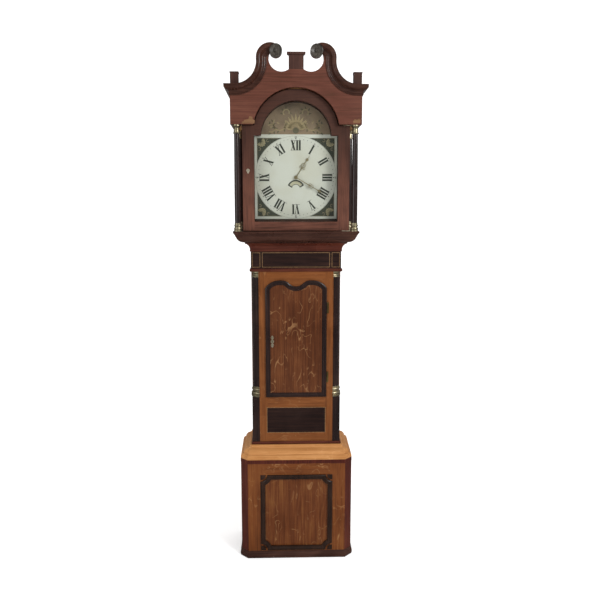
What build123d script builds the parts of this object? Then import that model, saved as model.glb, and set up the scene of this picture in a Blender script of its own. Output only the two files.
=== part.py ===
from build123d import *
from math import asin, atan2, cos, degrees, hypot, pi, radians, sin, sqrt
import os

# A longcase clock in oak and mahogany. Millimetres, Z up, X to the viewer's right.
# The floor is at Z = 0. "Forward" is the distance from the wall towards the viewer.

# Boards and clearances
BOARD = 18.0
BACKBOARD = 12.0
RAIL_THICK = 20.0
POST_THICK = 33.0
DOOR_GAP = 1.0
SLIDE_GAP = 2.5
RUNNING = 0.08

# Heights, stacked from the floor
FOOT_HEIGHT = 27.0
BASE_HEIGHT = 463.0
CROSSBAND_HEIGHT = 17.0
SHOULDER_HEIGHT = 55.0
LOWER_BEAD_HEIGHT = 12.0
PLINTH_BLOCK_HEIGHT = 207.0
COLUMN_HEIGHT = 559.0
UPPER_BEAD_HEIGHT = 13.0
TRUNK_FRIEZE_HEIGHT = 74.0
THROAT_HEIGHT = 37.0
HOOD_BASE_HEIGHT = 51.0
HOOD_COLUMN_HEIGHT = 434.0
HOOD_FRIEZE_HEIGHT = 114.0
CORNICE_HEIGHT = 42.0

# Widths and depths
TRUNK_WIDTH = 389.0
TRUNK_FRONT = 198.0
BASE_PROJECTION = 53.0
CANT = 31.0
FOOT_PROJECTION = 7.0
BEAD_PROJECTION = 5.5
THROAT_FOOT = 3.5
THROAT_PROJECTION = 24.0
HOOD_BASE_PROJECTION = 69.5
HOOD_WIDTH = 537.4
HOOD_FRONT = 262.0
HOOD_BOARD = 22.0
HOOD_SIDE = 14.0
HOOD_DOOR_WIDTH = 444.0
CORNICE_PROJECTION = 23.0

# Trunk front and its door
COLUMN_RECESS = 32.5
COLUMN_RADIUS = 30.0
DOOR_WIDTH = 267.0
DOOR_LIP = 9.0
DOOR_CORNER = 488.0
HUMP_RISE = 33.0
DIP_RISE = 7.0
HUMP_CENTRE = 67.0
HUMP_FLAT = 10.0
DOOR_BOARD = 18.0
DOOR_FACE = 3.5
DOOR_MOULDING_WIDTH = 20.0
DOOR_MOULDING_THICK = 5.0
DOOR_TOP_RAIL = 79.0
INLAY_WIDTH = 258.0
INLAY_HEIGHT = 114.0
INLAY_BOTTOM = 42.0
VENEER = 1.5
LINE_WIDTH = 1.8

# Base front
BASE_PANEL_WIDTH = 320.0
BASE_PANEL_TOP = 394.0
BASE_PANEL_BOTTOM = 36.0
BASE_MOULDING_WIDTH = 20.5
BASE_MOULDING_THICK = 7.0
CORNER_SCOOP = 30.0
SPANDREL_RADIUS = 23.0
BASE_PANEL_THICK = 12.0
BASE_PANEL_SET_BACK = 4.0

# Hood front: arch, swan necks and blocks
FRIEZE_ARCH_RADIUS = 179.0
FRIEZE_ARCH_DROP = 32.5
NECK_START = 248.0
NECK_CENTRE = 104.0
NECK_CENTRE_RISE = 100.0
NECK_RADIUS = 57.0
EYE_CENTRE = 60.0
EYE_RISE = 101.0
EYE_RADIUS = 51.0
ROSETTE_CENTRE = 82.0
ROSETTE_RISE = 129.0
ROSETTE_RADIUS = 26.0
ROSETTE_THICK = 22.0
CENTRE_BLOCK_WIDTH = 60.0
CENTRE_BLOCK_TOP = 116.0
CENTRE_CAP_WIDTH = 75.0
CENTRE_CAP_HEIGHT = 9.5
SIDE_BLOCK_WIDTH = 33.5
SIDE_BLOCK_CENTRE = 249.75
SIDE_BLOCK_HEIGHT = 49.5
SIDE_CAP_HEIGHT = 4.0
SIDE_CAP_LIP = 1.5
PEG_RADIUS = 4.0
PEG_DEPTH = 15.0
HOOD_ROOF = 12.0
HOOD_SOFFIT = 10.0
WALL_SCREW_RADIUS = 3.0
WALL_SCREW_SPACING = 160.0
WALL_SCREW_DROP = 76.0

# Hood columns
HOOD_COLUMN_CENTRE = 244.0
HOOD_COLUMN_RADIUS = 12.5
FRONT_COLUMN_FORWARD = 243.0
REAR_COLUMN_FORWARD = 24.0
BRASS_BASE_HEIGHT = 34.0
BRASS_CAP_HEIGHT = 36.0
BRASS_RADIUS = 16.5

# Hood door and glass
HOOD_DOOR_FRONT = 242.0
HOOD_DOOR_THICK = 20.0
HOOD_STILE = 48.0
HOOD_BOTTOM_RAIL = 37.0
HOOD_DOOR_LIFT = 2.5
HOOD_DOOR_TOP_GAP = 2.0
HOOD_ARCH_GAP = 4.0
GLASS_SHOULDER_DROP = 43.0
GLASS_ARCH_RADIUS = 146.0
GLASS_ARCH_DROP = 16.5
GLASS_THICK = 2.5
GLASS_REBATE = 5.0
HOOD_PIVOT_X = 224.5
HOOD_PIVOT_FORWARD = 246.0
HOOD_PIVOT_RADIUS = 1.8

# Dial, mask and hands
HANDS_DROP = 210.0
DIAL_SIZE = 356.0
DIAL_THICK = 1.5
DIAL_FRONT = 180.0
DIAL_ARCH_RADIUS = 150.0
DIAL_ARCH_RISE = 161.0
MASK_LAP = 4.0
MASK_BACK = 186.0
MASK_THICK = 8.0
MASK_TOP_DROP = 31.0
DATE_CENTRE_DROP = 47.0
DATE_SLOT_OUTER = 31.5
DATE_SLOT_INNER = 19.5
DATE_SLOT_HALF_ANGLE = 58.0
HOUR_HAND_LENGTH = 106.0
MINUTE_HAND_LENGTH = 137.0
HOUR_HAND_ANGLE = 33.0
MINUTE_HAND_ANGLE = 120.0
HAND_THICK = 1.2
HOUR_HAND_BACK = 183.0
MINUTE_HAND_BACK = 189.0

# Movement
CHEEK_DROP = 115.0
SEAT_THICK = 18.0
PLATE_THICK = 2.5
FRONT_PLATE_BACK = 147.5
BACK_PLATE_BACK = 87.5
PLATE_WIDTH = 150.0
PLATE_HEIGHT = 197.0
PILLAR_RADIUS = 5.0
GREAT_OFFSET = 34.0
GREAT_TEETH = 78
GREAT_MODULE = 1.15
SECOND_TEETH = 72
SECOND_MODULE = 0.9
STRIKE_SECOND_TEETH = 60
PINION_LEAVES = 6
ESCAPE_TEETH = 30
ESCAPE_RADIUS = 22.0
MOTION_MODULE = 0.75
DRIVE_TEETH = 78
CANNON_TEETH = 30
MINUTE_WHEEL_TEETH = 60
MINUTE_PINION_LEAVES = 10
HOUR_WHEEL_TEETH = 60
ARBOR_RADIUS = 2.0
PIVOT_RADIUS = 1.0
ROPE_PLANE = 116.0
ROPE_RADIUS = 2.5
PULLEY_ROPE_RADIUS = 17.0
PULLEY_RIM_RADIUS = 21.0
PULLEY_THICK = 14.0
ANCHOR_RISE = 31.0
PENDULUM_PLANE = 72.0
PENDULUM_LENGTH = 994.0
BOB_RADIUS = 55.0
BOB_THICK = 20.0
ROD_RADIUS = 2.0
WEIGHT_PULLEY_DROP = 135.0
WEIGHT_RADIUS = 30.0
WEIGHT_LENGTH = 130.0
WEIGHT_DROP = 85.0
RING_RISE = 73.0
RING_FORWARD = 163.0
RING_MAJOR = 9.0
RING_MINOR = 4.5
BELL_RADIUS = 46.0
BELL_HEIGHT = 34.0
BELL_RISE = 27.0
BELL_WALL = 2.5
DATE_DISC_RADIUS = 34.0
DATE_TEETH = 62

# Levels
CROSSBAND_BOTTOM = BASE_HEIGHT - CROSSBAND_HEIGHT
SHOULDER_TOP = BASE_HEIGHT + SHOULDER_HEIGHT
BLOCK_BOTTOM = SHOULDER_TOP + LOWER_BEAD_HEIGHT
COLUMN_BOTTOM = BLOCK_BOTTOM + PLINTH_BLOCK_HEIGHT
COLUMN_TOP = COLUMN_BOTTOM + COLUMN_HEIGHT
FRIEZE_BOTTOM = COLUMN_TOP + UPPER_BEAD_HEIGHT
FRIEZE_TOP = FRIEZE_BOTTOM + TRUNK_FRIEZE_HEIGHT
THROAT_TOP = FRIEZE_TOP + THROAT_HEIGHT
HOOD_FLOOR = THROAT_TOP + HOOD_BASE_HEIGHT
HOOD_FRIEZE_BOTTOM = HOOD_FLOOR + HOOD_COLUMN_HEIGHT
CORNICE_BOTTOM = HOOD_FRIEZE_BOTTOM + HOOD_FRIEZE_HEIGHT
CORNICE_TOP = CORNICE_BOTTOM + CORNICE_HEIGHT
HANDS_HEIGHT = HOOD_FRIEZE_BOTTOM - HANDS_DROP
CHEEK_TOP = HANDS_HEIGHT - CHEEK_DROP
SEAT_TOP = CHEEK_TOP + SEAT_THICK
BELL_RIM = SEAT_TOP + PLATE_HEIGHT + BELL_RISE
DIAL_ARCH_CENTRE = HANDS_HEIGHT + DIAL_ARCH_RISE
MASK_TOP = CORNICE_TOP - MASK_TOP_DROP
WALL_SCREW_HEIGHT = CORNICE_TOP - WALL_SCREW_DROP
WEIGHT_PULLEY_HEIGHT = CHEEK_TOP - WEIGHT_PULLEY_DROP
RING_HEIGHT = FOOT_HEIGHT + RING_RISE

# Half widths and planes that several pieces share
TRUNK_HALF = TRUNK_WIDTH / 2
BASE_HALF = TRUNK_HALF + BASE_PROJECTION
BASE_FRONT = TRUNK_FRONT + BASE_PROJECTION
HOOD_HALF = HOOD_WIDTH / 2
HOOD_DOOR_HALF = HOOD_DOOR_WIDTH / 2
HOOD_SIDE_OUTER = HOOD_DOOR_HALF
HOOD_SIDE_INNER = HOOD_SIDE_OUTER - HOOD_SIDE
HOOD_BACK_OF_FRONT = HOOD_FRONT - HOOD_BOARD
HOOD_DOOR_BACK = HOOD_DOOR_FRONT - HOOD_DOOR_THICK
GLASS_HALF = HOOD_DOOR_HALF - HOOD_STILE
DOOR_HALF = DOOR_WIDTH / 2
OPENING_HALF = DOOR_HALF - DOOR_LIP + DOOR_GAP
OPENING_BOTTOM = COLUMN_BOTTOM + DOOR_LIP - DOOR_GAP
OPENING_TOP = COLUMN_TOP - DOOR_TOP_RAIL
RECESS_X = TRUNK_HALF - COLUMN_RECESS
POST_BACK = TRUNK_FRONT - POST_THICK
RAIL_BACK = TRUNK_FRONT - RAIL_THICK
WALL_Y = max(HOOD_FRONT + CORNICE_PROJECTION, BASE_FRONT + FOOT_PROJECTION) / 2
FRONT_PLATE_FRONT = FRONT_PLATE_BACK + PLATE_THICK
BACK_PLATE_FRONT = BACK_PLATE_BACK + PLATE_THICK


# Places and simple shapes

def y_at(forward):
    return WALL_Y - forward


def block(across, forward, up):
    """A straight-sided piece between two places across, forward of the wall and up."""
    (x0, x1), (f0, f1), (z0, z1) = across, forward, up
    return Pos((x0 + x1) / 2, y_at((f0 + f1) / 2), (z0 + z1) / 2) * Box(x1 - x0, f1 - f0, z1 - z0)


def outline(start, *runs):
    """A face inside a closed chain: (x, z) is a straight run, (xm, zm, x, z) an arc through xm, zm."""
    edges, here = [], start
    for run in runs + (start,):
        end = run[-2:]
        if end != here:
            edges.append(ThreePointArc(here, run[:2], end) if len(run) == 4 else Line(here, end))
        here = end
    return make_face(edges)


def rectangle(x0, x1, z0, z1):
    return Pos((x0 + x1) / 2, (z0 + z1) / 2) * Rectangle(x1 - x0, z1 - z0)


def disc(x, z, radius):
    return Pos(x, z) * Circle(radius)


def front_plane(forward):
    return Plane((0, y_at(forward), 0), x_dir=(1, 0, 0), z_dir=(0, -1, 0))


def slab(face, back, front):
    """A front-view face given thickness from back to front."""
    return extrude(front_plane(back) * face, amount=front - back)


def plan_slab(face, bottom, top):
    """A plan-view face, drawn as across and forward, given height."""
    plane = Plane((0, WALL_Y, top), x_dir=(1, 0, 0), z_dir=(0, 0, -1))
    return extrude(plane * face, amount=top - bottom)


def side_slab(face, left, right):
    """A side-view face, drawn as forward and up, given width."""
    plane = Plane((right, WALL_Y, 0), x_dir=(0, -1, 0), z_dir=(-1, 0, 0))
    return extrude(plane * face, amount=right - left)


def rod(x, z, radius, back, front):
    return slab(disc(x, z, radius), back, front)


def post(x, forward, radius, bottom, top):
    return Pos(x, y_at(forward), (bottom + top) / 2) * Cylinder(radius, top - bottom)


def turned(face, x, forward, bottom):
    """A profile, drawn as radius and height, turned about an upright axis."""
    return Pos(x, y_at(forward), bottom) * revolve(Plane.XZ * face, Axis.Z)


def mirrored(piece):
    return mirror(piece, about=Plane.YZ)


def pair(piece):
    return [piece, mirrored(piece)]


def joined(pieces):
    whole = pieces[0]
    for piece in pieces[1:]:
        whole = whole + piece
    return whole


# Mouldings run round the case

def three_sides(half, front):
    return [(-half, 0), (-half, front), (half, front), (half, 0)]


def five_sides(half, front, cant):
    return [(-half, 0), (-half, front - cant), (cant - half, front),
            (half - cant, front), (half, front - cant), (half, 0)]


def unit(start, end):
    length = hypot(end[0] - start[0], end[1] - start[1])
    return (end[0] - start[0]) / length, (end[1] - start[1]) / length


def mitre_plane(corner, before, after):
    """The upright plane through a corner, facing along the run that leaves it."""
    return Plane((corner[0], y_at(corner[1]), 0), z_dir=(before[0] + after[0], -before[1] - after[1], 0))


def moulding_lengths(face, corners, level):
    """One length for each side of a plan, mitred at the corners.

    The face is drawn as projection and height above the level. The corners run from the left
    rear, round the front, to the right rear.
    """
    lengths, overrun = [], 100.0
    steps = [unit(a, b) for a, b in zip(corners, corners[1:])]
    for i, step in enumerate(steps):
        start, end = corners[i], corners[i + 1]
        before = overrun if i > 0 else 0
        after = overrun if i < len(steps) - 1 else 0
        far = (end[0] + step[0] * after, end[1] + step[1] * after)
        outward = (-step[1], step[0])
        plane = Plane((far[0], y_at(far[1]), level),
                      x_dir=(outward[0], -outward[1], 0), z_dir=(-step[0], step[1], 0))
        reach = hypot(end[0] - start[0], end[1] - start[1]) + before + after
        length = extrude(plane * face, amount=reach)
        if i > 0:
            length = split(length, bisect_by=mitre_plane(start, steps[i - 1], step), keep=Keep.TOP)
        if i < len(steps) - 1:
            length = split(length, bisect_by=mitre_plane(end, step, steps[i + 1]), keep=Keep.BOTTOM)
        lengths.append(length)
    return lengths


# Case, from the floor up

def plinth():
    foot = outline((-BOARD, 0), (FOOT_PROJECTION - 2, 0), (FOOT_PROJECTION, FOOT_HEIGHT / 2, FOOT_PROJECTION - 2,
                   FOOT_HEIGHT - 4), (2, FOOT_HEIGHT + 1, 0, FOOT_HEIGHT + 6), (0, FOOT_HEIGHT), (-BOARD, FOOT_HEIGHT))
    return moulding_lengths(foot, five_sides(BASE_HALF, BASE_FRONT, CANT), 0)


def base_floor():
    inner = BASE_HALF - BOARD
    plan = outline((-inner, BACKBOARD), (-inner, BASE_FRONT - CANT), (CANT - BASE_HALF, BASE_FRONT - BOARD),
                   (BASE_HALF - CANT, BASE_FRONT - BOARD), (inner, BASE_FRONT - CANT), (inner, BACKBOARD))
    return [plan_slab(plan, FOOT_HEIGHT, FOOT_HEIGHT + BACKBOARD)]


def base_sides():
    return pair(block((BASE_HALF - BOARD, BASE_HALF), (BACKBOARD, BASE_FRONT - CANT),
                      (FOOT_HEIGHT, CROSSBAND_BOTTOM)))


def base_banding():
    """The dark crossband under the shoulder and the dark canted corners."""
    cant = outline((BASE_HALF, BASE_FRONT - CANT), (BASE_HALF - CANT, BASE_FRONT),
                   (BASE_HALF - CANT, BASE_FRONT - BOARD), (BASE_HALF - BOARD, BASE_FRONT - CANT))
    band = rectangle(-BOARD, 0.8, 0, CROSSBAND_HEIGHT)
    lengths = moulding_lengths(band, five_sides(BASE_HALF, BASE_FRONT, CANT), CROSSBAND_BOTTOM)
    ends = block((-BASE_HALF - 1, BASE_HALF + 1), (-1, BACKBOARD), (CROSSBAND_BOTTOM, BASE_HEIGHT))
    return [length - ends for length in lengths] + pair(plan_slab(cant, FOOT_HEIGHT, CROSSBAND_BOTTOM))


BASE_PANEL_HALF = BASE_PANEL_WIDTH / 2
BASE_FRAME_LAP = BASE_MOULDING_WIDTH / 2
BASE_OPEN_HALF = BASE_PANEL_HALF - BASE_FRAME_LAP
BASE_OPEN_BOTTOM = BASE_PANEL_BOTTOM + BASE_FRAME_LAP
BASE_OPEN_TOP = BASE_PANEL_TOP - BASE_FRAME_LAP


def base_front_frame():
    deep = (BASE_FRONT - BOARD, BASE_FRONT)
    stile = block((BASE_OPEN_HALF, BASE_HALF - CANT), deep, (FOOT_HEIGHT, CROSSBAND_BOTTOM))
    top = block((-BASE_OPEN_HALF, BASE_OPEN_HALF), deep, (BASE_OPEN_TOP, CROSSBAND_BOTTOM))
    bottom = block((-BASE_OPEN_HALF, BASE_OPEN_HALF), deep, (FOOT_HEIGHT, BASE_OPEN_BOTTOM))
    return pair(stile) + [top, bottom]


def base_panel():
    front = BASE_FRONT - BASE_PANEL_SET_BACK
    return [block((-BASE_OPEN_HALF, BASE_OPEN_HALF), (front - BASE_PANEL_THICK, front),
                  (BASE_OPEN_BOTTOM, BASE_OPEN_TOP))]


def scooped(inset):
    """The panel moulding's outline, with a quarter round taken out of each corner."""
    half = BASE_PANEL_HALF - inset
    face = rectangle(-half, half, BASE_PANEL_BOTTOM + inset, BASE_PANEL_TOP - inset)
    for x in (-BASE_PANEL_HALF, BASE_PANEL_HALF):
        for z in (BASE_PANEL_BOTTOM, BASE_PANEL_TOP):
            face = face - disc(x, z, CORNER_SCOOP + inset)
    return face


def base_panel_moulding():
    """The moulding laps the frame and stands in front of the panel; four quarter rounds fill its corners."""
    rings = []
    for outer, inner, rise in DOOR_MOULDING_STEPS:
        ring = scooped(outer * BASE_MOULDING_WIDTH) - scooped(inner * BASE_MOULDING_WIDTH)
        rings.append(slab(ring, BASE_FRONT, BASE_FRONT + rise * BASE_MOULDING_THICK))
    moulding = joined(rings)
    inner = slab(scooped(BASE_FRAME_LAP) - scooped(BASE_MOULDING_WIDTH), BASE_FRONT - BASE_PANEL_SET_BACK, BASE_FRONT)
    inner = inner & slab(rectangle(-BASE_OPEN_HALF, BASE_OPEN_HALF, BASE_OPEN_BOTTOM, BASE_OPEN_TOP),
                         BASE_FRONT - BASE_PANEL_SET_BACK, BASE_FRONT)
    spandrels = []
    frame = rectangle(-BASE_PANEL_HALF, BASE_PANEL_HALF, BASE_PANEL_BOTTOM, BASE_PANEL_TOP)
    for x in (-BASE_PANEL_HALF, BASE_PANEL_HALF):
        for z in (BASE_PANEL_BOTTOM, BASE_PANEL_TOP):
            quarter = frame & disc(x, z, SPANDREL_RADIUS)
            spandrels.append(slab(quarter, BASE_FRONT, BASE_FRONT + VENEER))
    return [moulding + inner] + spandrels


def shoulder_moulding():
    """The broad moulding between base and trunk, scribed round the square trunk."""
    inner = -BASE_PROJECTION
    top = inner + BEAD_PROJECTION + 5
    section = outline((inner, 0), (0, 0), (0, 3), (-2, 14, -10, 20), (-12, 20), (-18, 34, -31, 41),
                      (-39, 46, top, SHOULDER_HEIGHT), (inner, SHOULDER_HEIGHT))
    trunk = block((-TRUNK_HALF, TRUNK_HALF), (0, TRUNK_FRONT), (BASE_HEIGHT, SHOULDER_TOP))
    lengths = moulding_lengths(section, five_sides(BASE_HALF, BASE_FRONT, CANT), BASE_HEIGHT)
    return [length - trunk for length in lengths]


def nosing(height):
    return outline((0, 0), (BEAD_PROJECTION * 0.6, 0), (BEAD_PROJECTION, height / 2, BEAD_PROJECTION * 0.6, height),
                   (0, height))


def trunk_mouldings():
    """The two beads round the trunk and the hollow throat that carries the hood."""
    plan = three_sides(TRUNK_HALF, TRUNK_FRONT)
    throat = outline((0, 0), (THROAT_FOOT, 0), (THROAT_FOOT, 4),
                     (THROAT_FOOT + 5, THROAT_HEIGHT * 0.66, THROAT_PROJECTION, THROAT_HEIGHT - 2),
                     (THROAT_PROJECTION, THROAT_HEIGHT), (0, THROAT_HEIGHT))
    return (moulding_lengths(nosing(LOWER_BEAD_HEIGHT), plan, SHOULDER_TOP)
            + moulding_lengths(nosing(UPPER_BEAD_HEIGHT), plan, COLUMN_TOP)
            + moulding_lengths(throat, plan, FRIEZE_TOP))


EARS_BOTTOM = HOOD_FLOOR + SLIDE_GAP
BACKBOARD_TOP = CORNICE_TOP - HOOD_ROOF - SLIDE_GAP


def backboard():
    """One board from the base to the hood roof, wide at the base and again inside the hood."""
    ear = HOOD_SIDE_INNER - SLIDE_GAP
    face = rectangle(-TRUNK_HALF, TRUNK_HALF, FOOT_HEIGHT, BACKBOARD_TOP)
    face = face + rectangle(-BASE_HALF, BASE_HALF, FOOT_HEIGHT, BASE_HEIGHT)
    face = face + rectangle(-ear, ear, EARS_BOTTOM, BACKBOARD_TOP)
    board = slab(face, 0, BACKBOARD)
    for x in (-WALL_SCREW_SPACING / 2, WALL_SCREW_SPACING / 2):
        board = board - rod(x, WALL_SCREW_HEIGHT, WALL_SCREW_RADIUS, -1, BACKBOARD + 1)
    feet = moulding_lengths(rectangle(-BOARD, 20, -1, FOOT_HEIGHT + 7), five_sides(BASE_HALF, BASE_FRONT, CANT), 0)
    return [board - feet[0] - feet[-1]]


def trunk_sides():
    """Side boards that run up inside the hood as cheeks, with a strip behind each corner column."""
    side = block((TRUNK_HALF - BOARD, TRUNK_HALF), (BACKBOARD, POST_BACK), (CROSSBAND_BOTTOM, CHEEK_TOP))
    strip = block((RECESS_X - 4, TRUNK_HALF - BOARD), (POST_BACK - BOARD, POST_BACK), (BASE_HEIGHT, FRIEZE_TOP))
    return pair(side + strip)


def door_outline(inset):
    """The trunk door's shape: square below, two humps and a dip above."""
    corner = COLUMN_BOTTOM + DOOR_CORNER
    hump, dip = corner + HUMP_RISE, corner + DIP_RISE
    outer, flat = HUMP_CENTRE + HUMP_FLAT / 2, HUMP_CENTRE - HUMP_FLAT / 2
    run = DOOR_HALF - outer
    shoulder = (run * run + HUMP_RISE * HUMP_RISE) / (2 * HUMP_RISE)
    lean = asin(run / shoulder) / 2
    fall = hump - dip
    bend = (flat * flat + fall * fall) / (4 * fall)
    turn = asin(flat / 2 / bend) / 2
    up = [(DOOR_HALF, corner),
          (outer + shoulder * sin(lean), hump - shoulder * (1 - cos(lean)), outer, hump), (flat, hump),
          (flat - bend * sin(turn), hump - bend * (1 - cos(turn)), flat / 2, (hump + dip) / 2),
          (bend * sin(turn), dip + bend * (1 - cos(turn)), 0, dip)]
    right = outline((0, COLUMN_BOTTOM), (DOOR_HALF, COLUMN_BOTTOM), *up)
    face = right + mirror(right, about=Plane.YZ)
    return offset(face, amount=-inset, kind=Kind.INTERSECTION) if inset else face


def trunk_front_frame():
    """Stiles and rails round the door opening."""
    stile = block((OPENING_HALF, RECESS_X), (POST_BACK, TRUNK_FRONT), (OPENING_BOTTOM, COLUMN_TOP))
    top = block((-OPENING_HALF, OPENING_HALF), (RAIL_BACK, TRUNK_FRONT), (OPENING_TOP, COLUMN_TOP))
    bottom = block((-RECESS_X, RECESS_X), (RAIL_BACK, TRUNK_FRONT), (BASE_HEIGHT, OPENING_BOTTOM))
    bottom = bottom - joined(trunk_inlay_panel()) - joined(panel_lines())
    leaves = case_leaf(HINGE_HEIGHTS[0]) + case_leaf(HINGE_HEIGHTS[1])
    mortise = block((-OPENING_HALF - LOCK_THROW - 3, -OPENING_HALF), widened(LOCK_BOLT_FORWARD, 0.6),
                    widened(LOCK_BOLT_UP, 0.6))
    return [stile - leaves, mirrored(stile) - mortise, top, bottom]


def frame_lines(x0, x1, z0, z1):
    """Four strips of pale inlay round a rectangle, let in flush with the trunk front."""
    deep = (TRUNK_FRONT - VENEER, TRUNK_FRONT)
    return [block((x0, x1), deep, (z1, z1 + LINE_WIDTH)), block((x0, x1), deep, (z0 - LINE_WIDTH, z0)),
            block((x0 - LINE_WIDTH, x0), deep, (z0 - LINE_WIDTH, z1 + LINE_WIDTH)),
            block((x1, x1 + LINE_WIDTH), deep, (z0 - LINE_WIDTH, z1 + LINE_WIDTH))]


def panel_lines():
    low = BLOCK_BOTTOM + INLAY_BOTTOM
    return frame_lines(-INLAY_WIDTH / 2, INLAY_WIDTH / 2, low, low + INLAY_HEIGHT)


FRIEZE_LINE_INSET = 7.0
FRIEZE_PANEL_HALF = 144.0
FRIEZE_END_INNER = 156.0


def frieze_lines():
    low, high = FRIEZE_BOTTOM + FRIEZE_LINE_INSET, FRIEZE_TOP - FRIEZE_LINE_INSET
    end = frame_lines(FRIEZE_END_INNER, TRUNK_HALF - FRIEZE_LINE_INSET, low, high)
    return (frame_lines(-FRIEZE_PANEL_HALF, FRIEZE_PANEL_HALF, low, high)
            + end + [mirrored(line) for line in end])


def stringing():
    return panel_lines() + frieze_lines()


def trunk_inlay_panel():
    low = BLOCK_BOTTOM + INLAY_BOTTOM
    return [block((-INLAY_WIDTH / 2, INLAY_WIDTH / 2), (TRUNK_FRONT - VENEER, TRUNK_FRONT),
                  (low, low + INLAY_HEIGHT))]


def trunk_frieze():
    board = block((-TRUNK_HALF, TRUNK_HALF), (POST_BACK, TRUNK_FRONT), (COLUMN_TOP, THROAT_TOP))
    for line in frieze_lines():
        board = board - line
    return [board]


QUARTER_BASE_HEIGHT = 45.0
QUARTER_CAP_HEIGHT = 26.0


def corner_quarter(piece):
    """Keeps the part of a turned piece that stands in the trunk's front corner recess."""
    keep = block((RECESS_X, RECESS_X + 60), (POST_BACK, POST_BACK + 60), (BASE_HEIGHT, THROAT_TOP))
    return piece & keep


def quarter_columns():
    """The corner columns, and the square blocks that they stand on."""
    shaft = corner_quarter(post(RECESS_X, POST_BACK, COLUMN_RADIUS, COLUMN_BOTTOM + QUARTER_BASE_HEIGHT,
                                COLUMN_TOP - QUARTER_CAP_HEIGHT))
    foot = block((RECESS_X, TRUNK_HALF), (POST_BACK, TRUNK_FRONT), (BASE_HEIGHT, COLUMN_BOTTOM))
    return pair(shaft) + pair(foot)


def quarter_column_brasses():
    reach = COLUMN_RECESS
    base = outline((0, 0), (reach + 5, 0), (reach + 5, 8), (reach + 2, 9), (reach + 4.5, 15, reach + 2, 20),
                   (reach - 3, 22), (reach - 3, 27), (reach + 3, 32, reach - 2, 38), (reach - 1, 40),
                   (reach - 1, QUARTER_BASE_HEIGHT), (0, QUARTER_BASE_HEIGHT))
    cap = outline((0, 0), (reach - 2, 0), (reach + 1, 3, reach - 2, 6), (reach - 4, 8), (reach - 5, 14, reach - 1, 19),
                  (reach + 1, 20), (reach + 1, QUARTER_CAP_HEIGHT), (0, QUARTER_CAP_HEIGHT))
    pieces = [turned(base, RECESS_X, POST_BACK, COLUMN_BOTTOM),
              turned(cap, RECESS_X, POST_BACK, COLUMN_TOP - QUARTER_CAP_HEIGHT)]
    return [half for piece in pieces for half in pair(corner_quarter(piece))]


def seatboard():
    """The shelf on the cheeks that carries the movement, with a hole for the ropes."""
    board = block((-TRUNK_HALF, TRUNK_HALF), (BACK_PLATE_BACK - 8, POST_BACK), (CHEEK_TOP, SEAT_TOP))
    reach = GREAT_OFFSET + PULLEY_ROPE_RADIUS + 3 * ROPE_RADIUS
    return [board - block((-reach, reach), (ROPE_PLANE - 12, ROPE_PLANE + 12), (CHEEK_TOP, SEAT_TOP))]


# Trunk door

HINGE_HEIGHTS = (COLUMN_BOTTOM + 90.0, COLUMN_BOTTOM + 400.0)
HINGE_HALF = 24.0
HINGE_PIN_RADIUS = 1.2
KNUCKLE_RADIUS = 2.6
HINGE_X = DOOR_HALF + 3.1
HINGE_FORWARD = TRUNK_FRONT + 3.2
LEAF_THICK = 1.2
LEAF_SHOWN = 6.0
KNUCKLE_GAP = 0.3
LOCK_HEIGHT = COLUMN_BOTTOM + 251.6
LOCK_THROW = 6.0
LOCK_BOLT_FORWARD = (RAIL_BACK - 3.5, RAIL_BACK + 0.5)
LOCK_BOLT_UP = (LOCK_HEIGHT - 8, LOCK_HEIGHT + 8)
DOOR_BACK = TRUNK_FRONT + 0.5 - DOOR_BOARD
DOOR_FACE_FRONT = TRUNK_FRONT + 0.5 + DOOR_FACE


def case_leaf(height):
    """Hinge leaf let into the stile, with its two outer knuckles and the pin."""
    leaf = block((HINGE_X, HINGE_X + LEAF_SHOWN), (TRUNK_FRONT - LEAF_THICK, TRUNK_FRONT),
                 (height - HINGE_HALF, height + HINGE_HALF))
    web = block((HINGE_X, HINGE_X + KNUCKLE_RADIUS), (TRUNK_FRONT - LEAF_THICK, HINGE_FORWARD),
                (height - HINGE_HALF, height + HINGE_HALF))
    knuckle = post(HINGE_X, HINGE_FORWARD, KNUCKLE_RADIUS, height - HINGE_HALF, height + HINGE_HALF)
    middle = block((HINGE_X - 10, HINGE_X + 10), (TRUNK_FRONT, HINGE_FORWARD + 10),
                   (height - HINGE_HALF / 3 - KNUCKLE_GAP, height + HINGE_HALF / 3 + KNUCKLE_GAP))
    pin = post(HINGE_X, HINGE_FORWARD, HINGE_PIN_RADIUS, height - HINGE_HALF, height + HINGE_HALF)
    return leaf + (web + knuckle - middle) + pin


def door_leaf(height):
    """Hinge leaf under the door's lip, with the middle knuckle bored for the pin."""
    leaf = block((DOOR_HALF - DOOR_LIP + DOOR_GAP, HINGE_X), (TRUNK_FRONT + 0.7, TRUNK_FRONT + 0.7 + LEAF_THICK),
                 (height - HINGE_HALF / 3, height + HINGE_HALF / 3))
    knuckle = post(HINGE_X, HINGE_FORWARD, KNUCKLE_RADIUS, height - HINGE_HALF / 3, height + HINGE_HALF / 3)
    bore = post(HINGE_X, HINGE_FORWARD, HINGE_PIN_RADIUS + RUNNING, height - HINGE_HALF, height + HINGE_HALF)
    return leaf + knuckle - bore


def case_hinge_leaves():
    return [case_leaf(height) for height in HINGE_HEIGHTS]


def door_hinge_leaves():
    return [door_leaf(height) for height in HINGE_HEIGHTS]


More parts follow.
